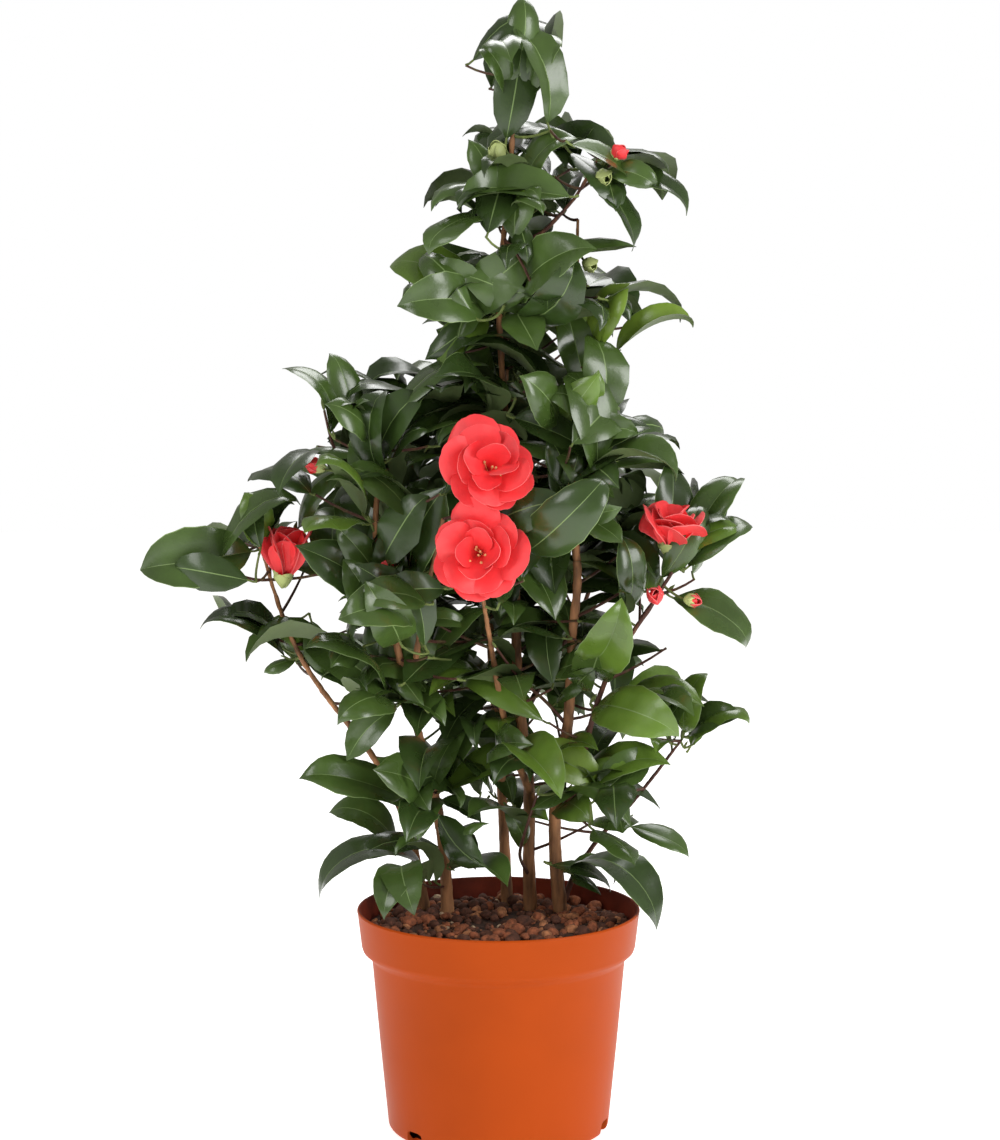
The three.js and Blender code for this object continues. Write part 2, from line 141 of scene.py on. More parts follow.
# Each bud: its limb, where along that limb it grows, how far it stands from there, its length, and how red
# it is (0 closed, 1 red at its tip, 2 opening).
BUDS = (
    ("east_bough", 0.88, (-0.002, -0.017, 0.000), 0.018, 1.0),
    ("east_bough", 0.92, (0.017, -0.012, -0.010), 0.014, 0.3),
    ("west_stem", 0.90, (-0.046, 0.004, -0.002), 0.016, 1.0),
    ("upper_bough", 0.98, (0.011, -0.008, 0.002), 0.016, 0.8),
    ("upper_bough", 0.94, (0.004, -0.009, -0.008), 0.018, 0.0),
    ("centre_stem", 0.87, (-0.008, -0.012, 0.008), 0.019, 0.0),
    ("east_stem", 0.96, (0.006, -0.008, -0.010), 0.016, 0.0),
    ("west_bough", 0.76, (-0.020, 0.006, -0.004), 0.030, 2.0),
    ("back_stem", 0.97, (0.012, 0.018, 0.008), 0.018, 1.0),
    ("back_west_bough", 0.95, (-0.010, 0.018, 0.004), 0.017, 0.6),
    ("back_east_bough", 0.95, (0.010, 0.020, 0.004), 0.018, 1.0),
)

# Where inner leaves close the space between the masses, seen from the front: x, z, half width, half height.
CLOSED = (
    (-0.014, 0.532, 0.085, 0.110),
    (0.057, 0.433, 0.050, 0.040),
    (0.078, 0.284, 0.052, 0.040),
    (-0.020, 0.365, 0.050, 0.036),
    (0.082, 0.798, 0.036, 0.045),
)

# Long bare shoots: limb, where along it each leaves, and the places it passes as steps from there in metres.
BARE_SHOOTS = (
    ("west_stem", 0.86, ((-0.024, 0.010, 0.013), (-0.038, 0.015, 0.033), (-0.045, 0.015, 0.065))),
    ("east_stem", 0.29, ((-0.019, -0.012, 0.024), (-0.043, -0.029, 0.046), (-0.061, -0.047, 0.074))),
    ("centre_stem", 0.05, ((-0.010, -0.030, 0.024), (-0.004, -0.050, 0.050), (0.006, -0.052, 0.082))),
)

CHIP_SEED, LEAF_SEED, BLOOM_SEED = 11, 2024, 77

# ---------------------------------------------------------------- settings


def size_setting(name, description, default):
    return bpy.props.FloatProperty(
        name=name, description=description, default=default, subtype="DISTANCE", precision=4)


def colour_setting(name, description, default):
    return bpy.props.FloatVectorProperty(
        name=name, description=description, default=default, subtype="COLOR", min=0, max=1)


def power_setting(name, description, default):
    return bpy.props.FloatProperty(name=name, description=description, default=default, subtype="POWER")


def number_setting(name, description, default):
    return bpy.props.FloatProperty(name=name, description=description, default=default)


def count_setting(name, description, default):
    return bpy.props.IntProperty(name=name, description=description, default=default)


class CamelliaPotSettings(bpy.types.PropertyGroup):
    """Sizes and colours of the pot and the compost in it."""

    foot_radius: size_setting("Foot radius", "Radius of the pot's underside", 0.095)
    body_radius: size_setting("Body radius", "Radius of the wall just under the collar", 0.1085)
    collar_radius: size_setting("Collar radius", "Radius of the collar's lower edge", 0.117)
    collar_height: size_setting("Collar height", "From the lip down to the collar's lower edge", 0.034)
    wall: size_setting("Wall", "Thickness of the moulded wall", 0.002)
    notches: count_setting("Drainage arches", "How many arches are cut in the foot", 6)
    notch_width: size_setting("Arch width", "Width of one drainage arch", 0.019)
    notch_height: size_setting("Arch height", "Height of one drainage arch", 0.012)
    colour: colour_setting("Plastic", "Colour of the pot", (0.42, 0.060, 0.005))
    # The inside colour is the pot's own plastic made darker: painted shade on the inside wall and floor.
    inside_shade_colour: colour_setting("Inside shade", "Colour of the shaded inside wall", (0.16, 0.022, 0.008))
    chips: count_setting("Bark chips", "How many chips and grains lie on the compost", 1000)
    chip_size: size_setting("Chip size", "Length of a usual chip", 0.0095)


class CamelliaWoodSettings(bpy.types.PropertyGroup):
    """Sizes and colours of stems, boughs and twigs."""

    relief: size_setting("Bark relief", "Depth of the ridges in old bark", 0.00055)
    ring_step: size_setting("Ring step", "Distance between rings along a stem", 0.003)
    twig_radius: size_setting("Twig radius", "Radius of a twig where it leaves its limb", 0.0015)
    stalk_radius: size_setting("Stalk radius", "Radius of a leaf's stalk", 0.0010)
    old_colour: colour_setting("Old bark", "Colour of stem bark", (0.30, 0.135, 0.055))
    young_colour: colour_setting("Young bark", "Colour of twig bark", (0.085, 0.028, 0.016))
    shoot_colour: colour_setting("Green shoot", "Colour of stalks and new shoots", (0.13, 0.17, 0.04))


class CamelliaLeafSettings(bpy.types.PropertyGroup):
    """Sizes and colours of the leaves."""

    longest: size_setting("Longest leaf", "Length of the largest leaf", 0.100)
    shortest: size_setting("Shortest leaf", "Length of the smallest leaf", 0.040)
    breadth: number_setting("Breadth", "Width of a leaf as a part of its length", 0.54)
    thickness: size_setting("Thickness", "Thickness of a leaf", 0.0006)
    node_gap: size_setting("Node gap", "Distance between leaves along a twig", 0.018)
    shoot_gap: size_setting("Shoot gap", "Distance between inner shoots along a limb", 0.030)
    shoot_reach: size_setting("Shoot reach", "Length of the longest inner shoot", 0.075)
    lowest: size_setting("Lowest leaf", "Height of the lowest inner leaf", 0.290)
    twig_run: size_setting("Twig run", "Longest twig to a filling leaf", 0.055)
    room: bpy.props.FloatProperty(
        name="Room", description="Volume of a mass that each filling leaf takes", default=0.000028,
        precision=6, unit="VOLUME")
    # The deep green also serves as painted shade on the inner and filling leaves.
    deep: colour_setting("Deep green", "Oldest leaves", (0.029, 0.056, 0.011))
    mid: colour_setting("Mid green", "Most leaves", (0.053, 0.096, 0.018))
    bright: colour_setting("Bright green", "Last season's leaves", (0.098, 0.172, 0.021))
    young: colour_setting("Young green", "New leaves", (0.158, 0.252, 0.029))
    under: colour_setting("Underside", "Underside of the leaves", (0.100, 0.140, 0.050))
    rib: colour_setting("Midrib", "Midrib and margin", (0.17, 0.25, 0.085))


class CamelliaBloomSettings(bpy.types.PropertyGroup):
    """Sizes and colours of blooms and buds."""

    petal_thickness: size_setting("Petal thickness", "Thickness of a petal", 0.0006)
    petal: colour_setting("Petal", "Colour of the petals", (0.93, 0.042, 0.050))
    petal_heart: colour_setting("Petal heart", "Colour of the inner petals", (0.84, 0.020, 0.028))
    # The pale rim is painted light: light showing through the thin edge of a petal.
    petal_rim_glow: colour_setting("Petal rim glow", "Thin pale edge of a petal", (0.95, 0.17, 0.17))
    stamen: colour_setting("Stamens", "Colour of filaments and anthers", (0.88, 0.60, 0.26))
    calyx: colour_setting("Calyx", "Colour of the scales under a bloom", (0.40, 0.46, 0.17))


class CamelliaStageSettings(bpy.types.PropertyGroup):
    """Camera and lights."""

    camera_distance: size_setting("Camera distance", "From the pot's axis to the camera", 2.2)
    camera_height: size_setting("Camera height", "Height of the camera", 0.706)
    camera_pitch: bpy.props.FloatProperty(
        name="Camera pitch", description="How far the camera looks down", default=math.radians(5.86),
        subtype="ANGLE")
    lens: number_setting("Lens", "Focal length in millimetres on a 36 mm sensor", 82.6)
    ambient: number_setting("Ambient", "Strength of the even light from all round", 0.34)
    key: power_setting("Key light", "Power of the softbox at the left", 26.0)
    fill: power_setting("Fill light", "Power of the softbox at the right", 36.0)
    rim: power_setting("Top light", "Power of the softbox above and behind", 24.0)


# ---------------------------------------------------------------- shared tools


def unit(v):
    v = np.asarray(v, float)
    return v / max(np.linalg.norm(v), 1e-12)


def deselect_all():
    if bpy.context.object and bpy.context.object.mode != "OBJECT":
        bpy.ops.object.mode_set(mode="OBJECT")
    bpy.ops.object.select_all(action="DESELECT")


def make_active(obj):
    deselect_all()
    obj.select_set(True)
    bpy.context.view_layer.objects.active = obj


def edit_all():
    bpy.ops.object.mode_set(mode="EDIT")
    bpy.ops.mesh.select_all(action="SELECT")


def close_edit():
    """Turns the selected faces outward and leaves edit mode."""
    bpy.ops.mesh.normals_make_consistent(inside=False)
    bpy.ops.object.mode_set(mode="OBJECT")


def apply_transform():
    bpy.ops.object.transform_apply(location=True, rotation=True, scale=True)


def node_mesh(name):
    """Points and triangles of a CAD node, with the points it holds several times merged."""
    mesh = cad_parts[name].data
    mesh.calc_loop_triangles()
    points = np.array([v.co for v in mesh.vertices])
    faces = np.array([t.vertices for t in mesh.loop_triangles])
    _, first, place = np.unique(np.round(points, 5), axis=0, return_index=True, return_inverse=True)
    return points[first], place.reshape(-1)[faces]


def edges_of(faces):
    pairs = np.concatenate([faces[:, [0, 1]], faces[:, [1, 2]], faces[:, [2, 0]]])
    return np.unique(np.sort(pairs, axis=1), axis=0)


def resample(points, step):
    """The same open line with evenly spaced points, and the share of its length at each."""
    points = np.asarray(points, float)
    spans = np.linalg.norm(np.diff(points, axis=0), axis=1)
    along = np.concatenate([[0], np.cumsum(spans)])
    count = max(3, int(round(along[-1] / step)) + 1)
    places = np.linspace(0, along[-1], count)
    return np.stack([np.interp(places, along, points[:, k]) for k in range(3)], 1), places / along[-1]


def smooth_line(points, passes):
    points = np.array(points, float)
    for _ in range(passes):
        points[1:-1] = (points[:-2] + 2 * points[1:-1] + points[2:]) / 4
    return points


def limb_line(name):
    """Centre line and radii of a limb, from level slices through its node."""
    points, faces = node_mesh(name)
    edges = edges_of(faces)
    a, b = points[edges[:, 0]], points[edges[:, 1]]
    low, high = points[:, 2].min(), points[:, 2].max()
    centres, radii = [], []
    for level in np.linspace(low + 0.004, high - 0.002, 44):
        crossing = (a[:, 2] - level) * (b[:, 2] - level) < 0
        if crossing.sum() < 4:
            continue
        share = (level - a[crossing, 2]) / (b[crossing, 2] - a[crossing, 2])
        cut = a[crossing] + (b[crossing] - a[crossing]) * share[:, None]
        centre = (cut.min(0) + cut.max(0)) / 2
        spread = np.linalg.eigvalsh(np.cov((cut - centre)[:, :2].T))
        centres.append(centre)
        radii.append(math.sqrt(2 * max(spread[0], 1e-9)))
    centres, radii = np.array(centres), np.array(radii)
    fit = np.polyfit(np.linspace(0, 1, len(radii))[2:-2], radii[2:-2], 3)
    radii = np.clip(np.polyval(fit, np.linspace(0, 1, len(radii))), 0.0009, 0.008)
    return smooth_line(centres, 3), radii


class Limbs:
    """Centre lines of all limbs, found once from the frame."""

    def __init__(self):
        self.lines = {name: limb_line(name) for name in (*STEMS, *BOUGHS)}
        for name, parent in PARENTS.items():
            line, radii = self.lines[name]
            root = self.nearest(line[0], (parent,))[1]
            self.lines[name] = (np.vstack([root, line]), np.concatenate([[radii[0]], radii]))
        for name in self.lines:
            if name not in PARENTS:
                line, radii = self.lines[name]
                below = line[0] + (line[0] - line[2]) * 0.012 / np.linalg.norm(line[0] - line[2])
                self.lines[name] = (np.vstack([below, line]), np.concatenate([[radii[0] * 1.12], radii]))

    def at(self, name, share):
        line, shares = resample(self.lines[name][0], 0.004)
        return np.array([np.interp(share, shares, line[:, k]) for k in range(3)])

    def nearest(self, point, names=None):
        """How far the nearest centre line is from a point, and where on it."""
        best = None
        for name in names or self.lines:
            line, _ = self.lines[name]
            away = np.linalg.norm(line - point, axis=1)
            k = int(away.argmin())
            if best is None or away[k] < best[0]:
                best = (float(away[k]), line[k])
        return best


class Batch:
    """Many small shapes gathered into one mesh."""

    def __init__(self):
        self.points, self.faces, self.kinds, self.count = [], [], [], 0

    def add(self, points, faces, kinds):
        self.points.append(np.asarray(points))
        self.faces += [[corner + self.count for corner in face] for face in faces]
        self.kinds.append(np.broadcast_to(np.asarray(kinds), (len(faces),)))
        self.count += len(points)

    def build(self, name, materials, smooth_angle=50):
        points = np.concatenate(self.points)
        mesh = bpy.data.meshes.new(name)
        mesh.from_pydata(points.tolist(), [], self.faces)
        for material in materials:
            mesh.materials.append(material)
        mesh.polygons.foreach_set("material_index", np.concatenate(self.kinds).astype(np.int32))
        obj = bpy.data.objects.new(name, mesh)
        bpy.context.scene.collection.objects.link(obj)
        make_active(obj)
        bpy.ops.object.shade_smooth_by_angle(angle=math.radians(smooth_angle))
        return obj


def add_tube(batch, line, radii, kind, sides=6):
    """Adds a closed round bar along a line."""
    line = np.asarray(line, float)
    radii = np.broadcast_to(np.asarray(radii, float), (len(line),))
    ahead = np.gradient(line, axis=0)
    side = np.cross(unit(ahead[0]), (0.3, 0.9, 0.1) if abs(unit(ahead[0])[2]) > 0.8 else (0, 0, 1))
    turns = np.arange(sides) * 2 * math.pi / sides
    rings = []
    for point, radius, way in zip(line, radii, ahead):
        way = unit(way)
        side = unit(side - way * (side @ way))
        other = np.cross(way, side)
        rings.append(point + radius * (np.cos(turns)[:, None] * side + np.sin(turns)[:, None] * other))
    last = (len(line) - 1) * sides
    faces = [[*range(sides - 1, -1, -1)], [last + k for k in range(sides)]]
    for ring in range(0, last, sides):
        faces += [[ring + k, ring + (k + 1) % sides, ring + sides + (k + 1) % sides, ring + sides + k]
                  for k in range(sides)]
    batch.add(np.concatenate(rings), faces, kind)


def arc_line(a, b, lift, count=7):
    """A line from a to b that bulges by the vector lift."""
    t = np.linspace(0, 1, count)[:, None]
    return np.asarray(a) * (1 - t) + np.asarray(b) * t + np.asarray(lift) * 4 * t * (1 - t)


# ---------------------------------------------------------------- materials


def shader_of(material):
    return material.node_tree.nodes["Principled BSDF"]


def new_material(name, colour, roughness, **sockets):
    material = bpy.data.materials.new(name)
    material.use_nodes = True
    shader = shader_of(material)
    shader.inputs["Base Color"].default_value = (*colour, 1)
    shader.inputs["Roughness"].default_value = roughness
    for socket, value in sockets.items():
        shader.inputs[socket.replace("_", " ")].default_value = value
    return material


def add_node(material, kind, **values):
    node = material.node_tree.nodes.new(kind)
    for key, value in values.items():
        if hasattr(node, key):
            setattr(node, key, value)
        else:
            node.inputs[key.replace("_", " ")].default_value = value
    return node


def link(material, source, target):
    material.node_tree.links.new(source, target)


def noise_field(material, scale, detail=3.0, stretch=(1, 1, 1)):
    """A noise pattern on the piece's own coordinates."""
    place = add_node(material, "ShaderNodeTexCoord")
    mapping = add_node(material, "ShaderNodeMapping")
    mapping.inputs["Scale"].default_value = stretch
    field = add_node(material, "ShaderNodeTexNoise", Scale=scale, Detail=detail)
    link(material, place.outputs["Object"], mapping.inputs["Vector"])
    link(material, mapping.outputs["Vector"], field.inputs["Vector"])
    return field


def vary_colour(material, field, colours, spots=(0.3, 0.7)):
    """The base colour runs through these colours as the field rises."""
    ramp = add_node(material, "ShaderNodeValToRGB")
    elements = ramp.color_ramp.elements
    places = np.linspace(spots[0], spots[1], len(colours))
    while len(elements) < len(colours):
        elements.new(0.5)
    for element, place, colour in zip(elements, places, colours):
        element.position = place
        element.color = (*colour, 1)
    link(material, field.outputs["Fac"], ramp.inputs["Fac"])
    shader = shader_of(material)
    link(material, ramp.outputs["Color"], shader.inputs["Base Color"])


def vary_roughness(material, field, low, high):
    span = add_node(material, "ShaderNodeMapRange")
    span.inputs["From Min"].default_value = 0.3
    span.inputs["From Max"].default_value = 0.7
    span.inputs["To Min"].default_value = low
    span.inputs["To Max"].default_value = high
    link(material, field.outputs["Fac"], span.inputs["Value"])
    link(material, span.outputs["Result"], shader_of(material).inputs["Roughness"])


def add_bump(material, field, strength, distance):
    bump = add_node(material, "ShaderNodeBump", Strength=strength, Distance=distance)
    link(material, field.outputs["Fac"], bump.inputs["Height"])
    link(material, bump.outputs["Normal"], shader_of(material).inputs["Normal"])


def shade(colour, factor):
    return tuple(min(1.0, channel * factor) for channel in colour)


def blend_colours(a, b, share):
    return tuple(x * (1 - share) + y * share for x, y in zip(a, b))


def leaf_material(name, colour, roughness, coat):
    material = new_material(name, colour, roughness, Coat_Weight=coat, Coat_Roughness=0.2,
                            Specular_IOR_Level=0.4)
    field = noise_field(material, 22, 4)
    vary_colour(material, field, (shade(colour, 0.72), colour, shade(colour, 1.35)))
    vary_roughness(material, field, roughness - 0.06, roughness + 0.08)
    add_bump(material, noise_field(material, 300, 2), 0.25, 0.0006)
    return material


# ---------------------------------------------------------------- pot and compost


def pot_profile(settings, lip_radius, height):
    """(radius, height) up the outside of the pot, over the lip and down the inside."""
    foot, wall = settings.foot_radius, settings.wall
    collar_foot = height - settings.collar_height
    round_foot = [(foot - 0.005 * (1 - math.sin(a)), 0.005 * (1 - math.cos(a)))
                  for a in np.linspace(0, math.pi / 2, 5)]
    shoulder = settings.body_radius
    outside = [
        *round_foot,
        (foot + (shoulder - foot) * 0.5, (collar_foot - 0.0085) * 0.5),
        (shoulder - 0.0002, collar_foot - 0.0095),
        (shoulder + 0.0006, collar_foot - 0.0075),
        (settings.collar_radius - 0.0030, collar_foot - 0.0028),
        (settings.collar_radius - 0.0008, collar_foot - 0.0008),
        (settings.collar_radius + 0.0002, collar_foot + 0.0022),
        (lip_radius - 0.0004, height - 0.0030),
        (lip_radius, height - 0.0016),
        (lip_radius - 0.0005, height - 0.0004),
        (lip_radius - 0.0013, height),
    ]
    inside = [
        (lip_radius - wall - 0.0004, height - 0.0004),
        (lip_radius - wall - 0.0010, height - 0.0020),
        (settings.collar_radius - wall, collar_foot + 0.002),
        (shoulder - wall, collar_foot - 0.008),
        (foot - wall, 0.008),
        (foot - wall - 0.004, 0.003),
    ]
    return outside + inside


class OBJECT_OT_camellia_pot(bpy.types.Operator):
    """Build the round nursery pot with its collar and drainage arches"""

    bl_idname = "object.camellia_pot"
    bl_label = "Pot"

    def execute(self, context):
        settings = context.scene.camellia_pot
        low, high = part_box("pot")
        profile = pot_profile(settings, (high.x - low.x) / 2, high.z)
        deselect_all()
        bpy.ops.mesh.primitive_circle_add(vertices=112, radius=profile[0][0], fill_type="NGON",
                                          location=(0, 0, profile[0][1]))
        pot = context.object
        pot.name = "pot_shell"
        edit_all()
        for (radius, height), (last_radius, last_height) in zip(profile[1:], profile):
            bpy.ops.mesh.extrude_region_move(
                TRANSFORM_OT_translate={"value": (0, 0, height - last_height)})
            scale = radius / last_radius
            bpy.ops.transform.resize(value=(scale, scale, 1), center_override=(0, 0, height))
        bpy.ops.mesh.select_all(action="SELECT")
        close_edit()
        self.cut_arches(pot, settings)
        make_active(pot)
        apply_transform()
        bpy.ops.object.shade_smooth_by_angle(angle=math.radians(32))
        colour = tuple(settings.colour)
        material = new_material("terracotta_plastic", colour, 0.5, Specular_IOR_Level=0.07)
        field = noise_field(material, 9, 5)
        vary_colour(material, field, (shade(colour, 0.93), colour, shade(colour, 1.05)))
        vary_roughness(material, field, 0.38, 0.48)
        add_bump(material, noise_field(material, 900, 2), 0.12, 0.0003)
        pot.data.materials.append(material)
        # The inside wall and floor take a darker copy of the plastic: painted shade.
        inner = tuple(settings.inside_shade_colour)
        inside_shade = new_material("pot_inside_painted_shade", inner, 0.6, Specular_IOR_Level=0.2)
        vary_colour(inside_shade, noise_field(inside_shade, 40, 4), (shade(inner, 0.6), inner, shade(inner, 1.3)))
        pot.data.materials.append(inside_shade)
        # Inward faces and the low upward faces of the inside floor take the painted shade slot.
        for face in pot.data.polygons:
            out = Vector((face.center.x, face.center.y, 0)).normalized()
            if face.normal.dot(out) < -0.3 or (face.normal.z > 0.9 and face.center.z < high.z * 0.5):
                face.material_index = 1
        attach(pot, "root")
        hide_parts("pot")
        return {"FINISHED"}

    def cut_arches(self, pot, settings):
        half, top, reach = settings.notch_width / 2, settings.notch_height, 0.020
        first = math.radians(12)
        for index in range(settings.notches):
            turn = first + index * 2 * math.pi / settings.notches
            deselect_all()
            bpy.ops.mesh.primitive_cube_add(size=1, location=(0, -settings.foot_radius, top / 2 - 0.001))
            cutter = bpy.context.object
            cutter.scale = (half * 2, reach, top + 0.002)
            apply_transform()
            bpy.ops.object.mode_set(mode="EDIT")
            bpy.ops.mesh.select_all(action="DESELECT")
            bpy.ops.object.mode_set(mode="OBJECT")
            for edge in cutter.data.edges:
                ends = [cutter.data.vertices[k].co for k in edge.vertices]
                edge.select = (all(p.z > top / 2 for p in ends) and ends[0].x * ends[1].x > 0)
            bpy.ops.object.mode_set(mode="EDIT")
            bpy.ops.mesh.select_mode(type="EDGE")
            bpy.ops.mesh.bevel(offset=0.0042, segments=2, affect="EDGES")
            bpy.ops.mesh.select_mode(type="VERT")
            bpy.ops.object.mode_set(mode="OBJECT")
            cutter.data.transform(Matrix.Rotation(turn, 4, "Z"))
            make_active(pot)
            cut = pot.modifiers.new("arch", "BOOLEAN")
            cut.operation = "DIFFERENCE"
            cut.solver = "EXACT"
            cut.object = cutter
            bpy.ops.object.modifier_apply(modifier=cut.name)
            bpy.data.objects.remove(cutter)


def mound_height(x, y, rim, crown, radius):
    """Height of the compost's surface at a place."""
    r = math.hypot(x, y) / radius
    swell = crown + (rim - crown) * min(1.0, r) ** 2.5
    return swell + 0.0016 * noise.noise(Vector((x * 60, y * 60, 0.3)))


class OBJECT_OT_camellia_compost(bpy.types.Operator):
    """Fill the pot with compost and strew bark chips and grains on it"""

    bl_idname = "object.camellia_compost"
    bl_label = "Compost"

    def execute(self, context):
        settings = context.scene.camellia_pot
        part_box("pot")  # stops here if the frame has no pot
        low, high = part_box("compost")
        radius = (high.x - low.x) / 2 - 0.0004
        crown, rim = high.z - 0.001, high.z - 0.0055
        deselect_all()
        bpy.ops.mesh.primitive_circle_add(vertices=80, radius=radius - 0.003, fill_type="NGON",
                                          location=(0, 0, rim - 0.012))
        bed = context.object
        bed.name = "compost_bed"
        edit_all()
        bpy.ops.mesh.extrude_region_move(TRANSFORM_OT_translate={"value": (0, 0, 0.012)})
        grow = radius / (radius - 0.003)
        bpy.ops.transform.resize(value=(grow, grow, 1), center_override=(0, 0, rim))
        for _ in range(9):
            bpy.ops.mesh.inset(thickness=radius * 0.1)
        bpy.ops.mesh.select_all(action="SELECT")
        close_edit()
        apply_transform()
        for vertex in bed.data.vertices:
            if vertex.co.z > rim - 0.01:
                vertex.co.z = mound_height(vertex.co.x, vertex.co.y, rim, crown, radius)
        bpy.ops.object.shade_smooth()
        bed.data.materials.append(self.crumb_material("compost_crumb", (0.055, 0.022, 0.012)))
        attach(bed, "root")
        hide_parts("compost")

        rng = np.random.default_rng(CHIP_SEED)
        batch = Batch()
        chip_points, chip_faces = self.nugget()
        for index in range(settings.chips):
            far = radius * 0.97 * math.sqrt(rng.random())
            turn = rng.random() * 2 * math.pi
            size = settings.chip_size * (0.45 + 1.1 * rng.random() ** 2)
            if index % 3 == 0:
                size *= 0.45
            far = min(far, radius - size * 0.6)
            x, y = far * math.cos(turn), far * math.sin(turn)
            flat = rng.uniform(0.5, 0.9)
            lump = chip_points @ rng.normal(0, 1, (3, 4))
            shape = chip_points * (1 + 0.13 * np.sin(lump * 1.7).sum(1, keepdims=True) / 2)
            shape = shape * (size * 0.5, size * 0.5 * rng.uniform(0.6, 0.95), size * 0.5 * flat)
            tilt = Matrix.Rotation(rng.normal() * 0.45, 3, "X") @ Matrix.Rotation(rng.random() * 6.28, 3, "Z")
            shape = shape @ np.array(tilt).T
            lift = mound_height(x, y, rim, crown, radius) + size * rng.uniform(0.0, 0.32)
            kind = int(rng.choice(4, p=(0.50, 0.32, 0.14, 0.04)))
            batch.add(shape + (x, y, lift), chip_faces, kind)
        chips = batch.build("bark_chips", [
            self.crumb_material("chip_dark", (0.100, 0.034, 0.018)),
            self.crumb_material("chip_red", (0.250, 0.074, 0.030)),
            self.crumb_material("chip_tan", (0.360, 0.140, 0.060)),
            self.crumb_material("chip_pale", (0.520, 0.360, 0.230)),
        ], 75)
        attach(chips, "root")
        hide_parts("compost")
        return {"FINISHED"}

    def nugget(self):
        deselect_all()
        bpy.ops.mesh.primitive_ico_sphere_add(subdivisions=2, radius=1)
        ball = bpy.context.object
        points = np.array([v.co for v in ball.data.vertices])
        faces = np.array([p.vertices for p in ball.data.polygons])
        bpy.data.objects.remove(ball)
        return points, faces

    def crumb_material(self, name, colour):
        material = new_material(name, colour, 0.85)
        field = noise_field(material, 260, 5)
        vary_colour(material, field, (shade(colour, 0.5), colour, shade(colour, 1.6)))
        add_bump(material, noise_field(material, 700, 4), 0.6, 0.0015)
        return material


# ---------------------------------------------------------------- stems and boughs


def bark_material(name, colour, dark, pale):
    material = new_material(name, colour, 0.72)
    field = noise_field(material, 150, 6, (1, 1, 0.16))
    vary_colour(material, field, (dark, colour, pale), (0.32, 0.68))
    add_bump(material, noise_field(material, 420, 5, (1, 1, 0.12)), 0.7, 0.0012)
    return material


class OBJECT_OT_camellia_limbs(bpy.types.Operator):
    """Model the stems and boughs along their frames, with the relief of their bark"""

    bl_idname = "object.camellia_limbs"
    bl_label = "Stems and boughs"

    def execute(self, context):
        settings = context.scene.camellia_wood
        old, young = tuple(settings.old_colour), tuple(settings.young_colour)
        old_bark = bark_material("old_bark", old, shade(old, 0.45), shade(old, 1.5))
        young_bark = bark_material("young_bark_skin", young, shade(young, 0.6), (0.20, 0.08, 0.035))
        for name, names, material, slot, relief in (
                ("stem_bark", STEMS, old_bark, "bark", settings.relief),
                ("bough_bark", BOUGHS, young_bark, "young_bark", settings.relief * 0.4)):
            wood = self.wood(name, names, settings.ring_step, relief)
            wood.data.materials.append(material)
            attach(wood, "root")
            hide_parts(*names)
        return {"FINISHED"}

    def wood(self, name, names, step, relief):
        made = []
        for limb in names:
            line, radii = LIMBS.lines[limb]
            points, shares = resample(line, step)
            source = np.concatenate([[0], np.cumsum(np.linalg.norm(np.diff(line, axis=0), axis=1))])
            widths = np.interp(shares, source / source[-1], radii)
            deselect_all()
            bpy.ops.curve.primitive_nurbs_path_add()
            path = bpy.context.object
            path.data.splines.clear()
            spline = path.data.splines.new("POLY")
            spline.points.add(len(points) - 1)
            for knot, point, width in zip(spline.points, smooth_line(points, 4), widths):
                knot.co = (*point, 1)
                knot.radius = width
            path.location = (0, 0, 0)
            path.data.bevel_depth = 1.0
            path.data.bevel_resolution = 3
            path.data.use_fill_caps = True
            path.data.twist_smooth = 8
            bpy.ops.object.convert(target="MESH")
            made.append(bpy.context.object)
        deselect_all()
        for obj in made:
            obj.select_set(True)
        bpy.context.view_layer.objects.active = made[0]
        bpy.ops.object.join()
        wood = bpy.context.object
        wood.name = name
        edit_all()
        bpy.ops.mesh.remove_doubles(threshold=0.00002)
        close_edit()
        apply_transform()
        moves = []
        for vertex in wood.data.vertices:
            p = vertex.co
            ridge = noise.fractal(Vector((p.x * 420, p.y * 420, p.z * 46)), 0.6, 2.2, 3)
            knuckle = max(0.0, noise.noise(Vector((p.x * 30, p.y * 30, p.z * 70))) - 0.25)
            moves.append(p + vertex.normal * (relief * ridge + 0.0016 * knuckle * (relief > 0)))
        for vertex, place in zip(wood.data.vertices, moves):
            vertex.co = place
        bpy.ops.object.shade_smooth()
        return wood


# ---------------------------------------------------------------- leaves

LEAD_COLUMNS = np.array([-1.0, -0.972, -0.52, -0.022, 0.022, 0.52, 0.972, 1.0])
SIDE_COLUMNS = np.array([-1.0, -0.55, -0.03, 0.03, 0.55, 1.0])
UNDER_COLUMNS = np.array([-0.55, 0.0, 0.55])
LEAD_ROWS, SIDE_ROWS = 16, 8
OUTLINE_AT = np.array([0, 0.03, 0.08, 0.16, 0.26, 0.38, 0.50, 0.62, 0.73, 0.82, 0.89, 0.945, 0.975, 1.0])
OUTLINE = np.array([0.03, 0.20, 0.43, 0.70, 0.90, 0.99, 1.0, 0.92, 0.76, 0.55, 0.32, 0.13, 0.07, 0.015])
TOP, UNDER, EDGE = 0, 1, 2
TONES = ("deep", "mid", "bright", "young")
GOLDEN_ANGLE = math.radians(137.5)
STALK = 0.007  # length of a leaf's stalk
SLIM = (0.44, 0.58)  # width of an ordinary leaf as a part of its length
LEAD_WIDTH = 0.048  # widest leading leaf
BROAD_WIDTH = 0.058  # width allowed to the far left leaf
LEAD_NARROWEST = 0.034
LOBE_GAP = 0.024  # lobes nearer together than this count as one
TIP_GAP = 0.018  # least distance between the tips of filling leaves
STRAY = 0.008  # how far a leaf may stand outside the masses
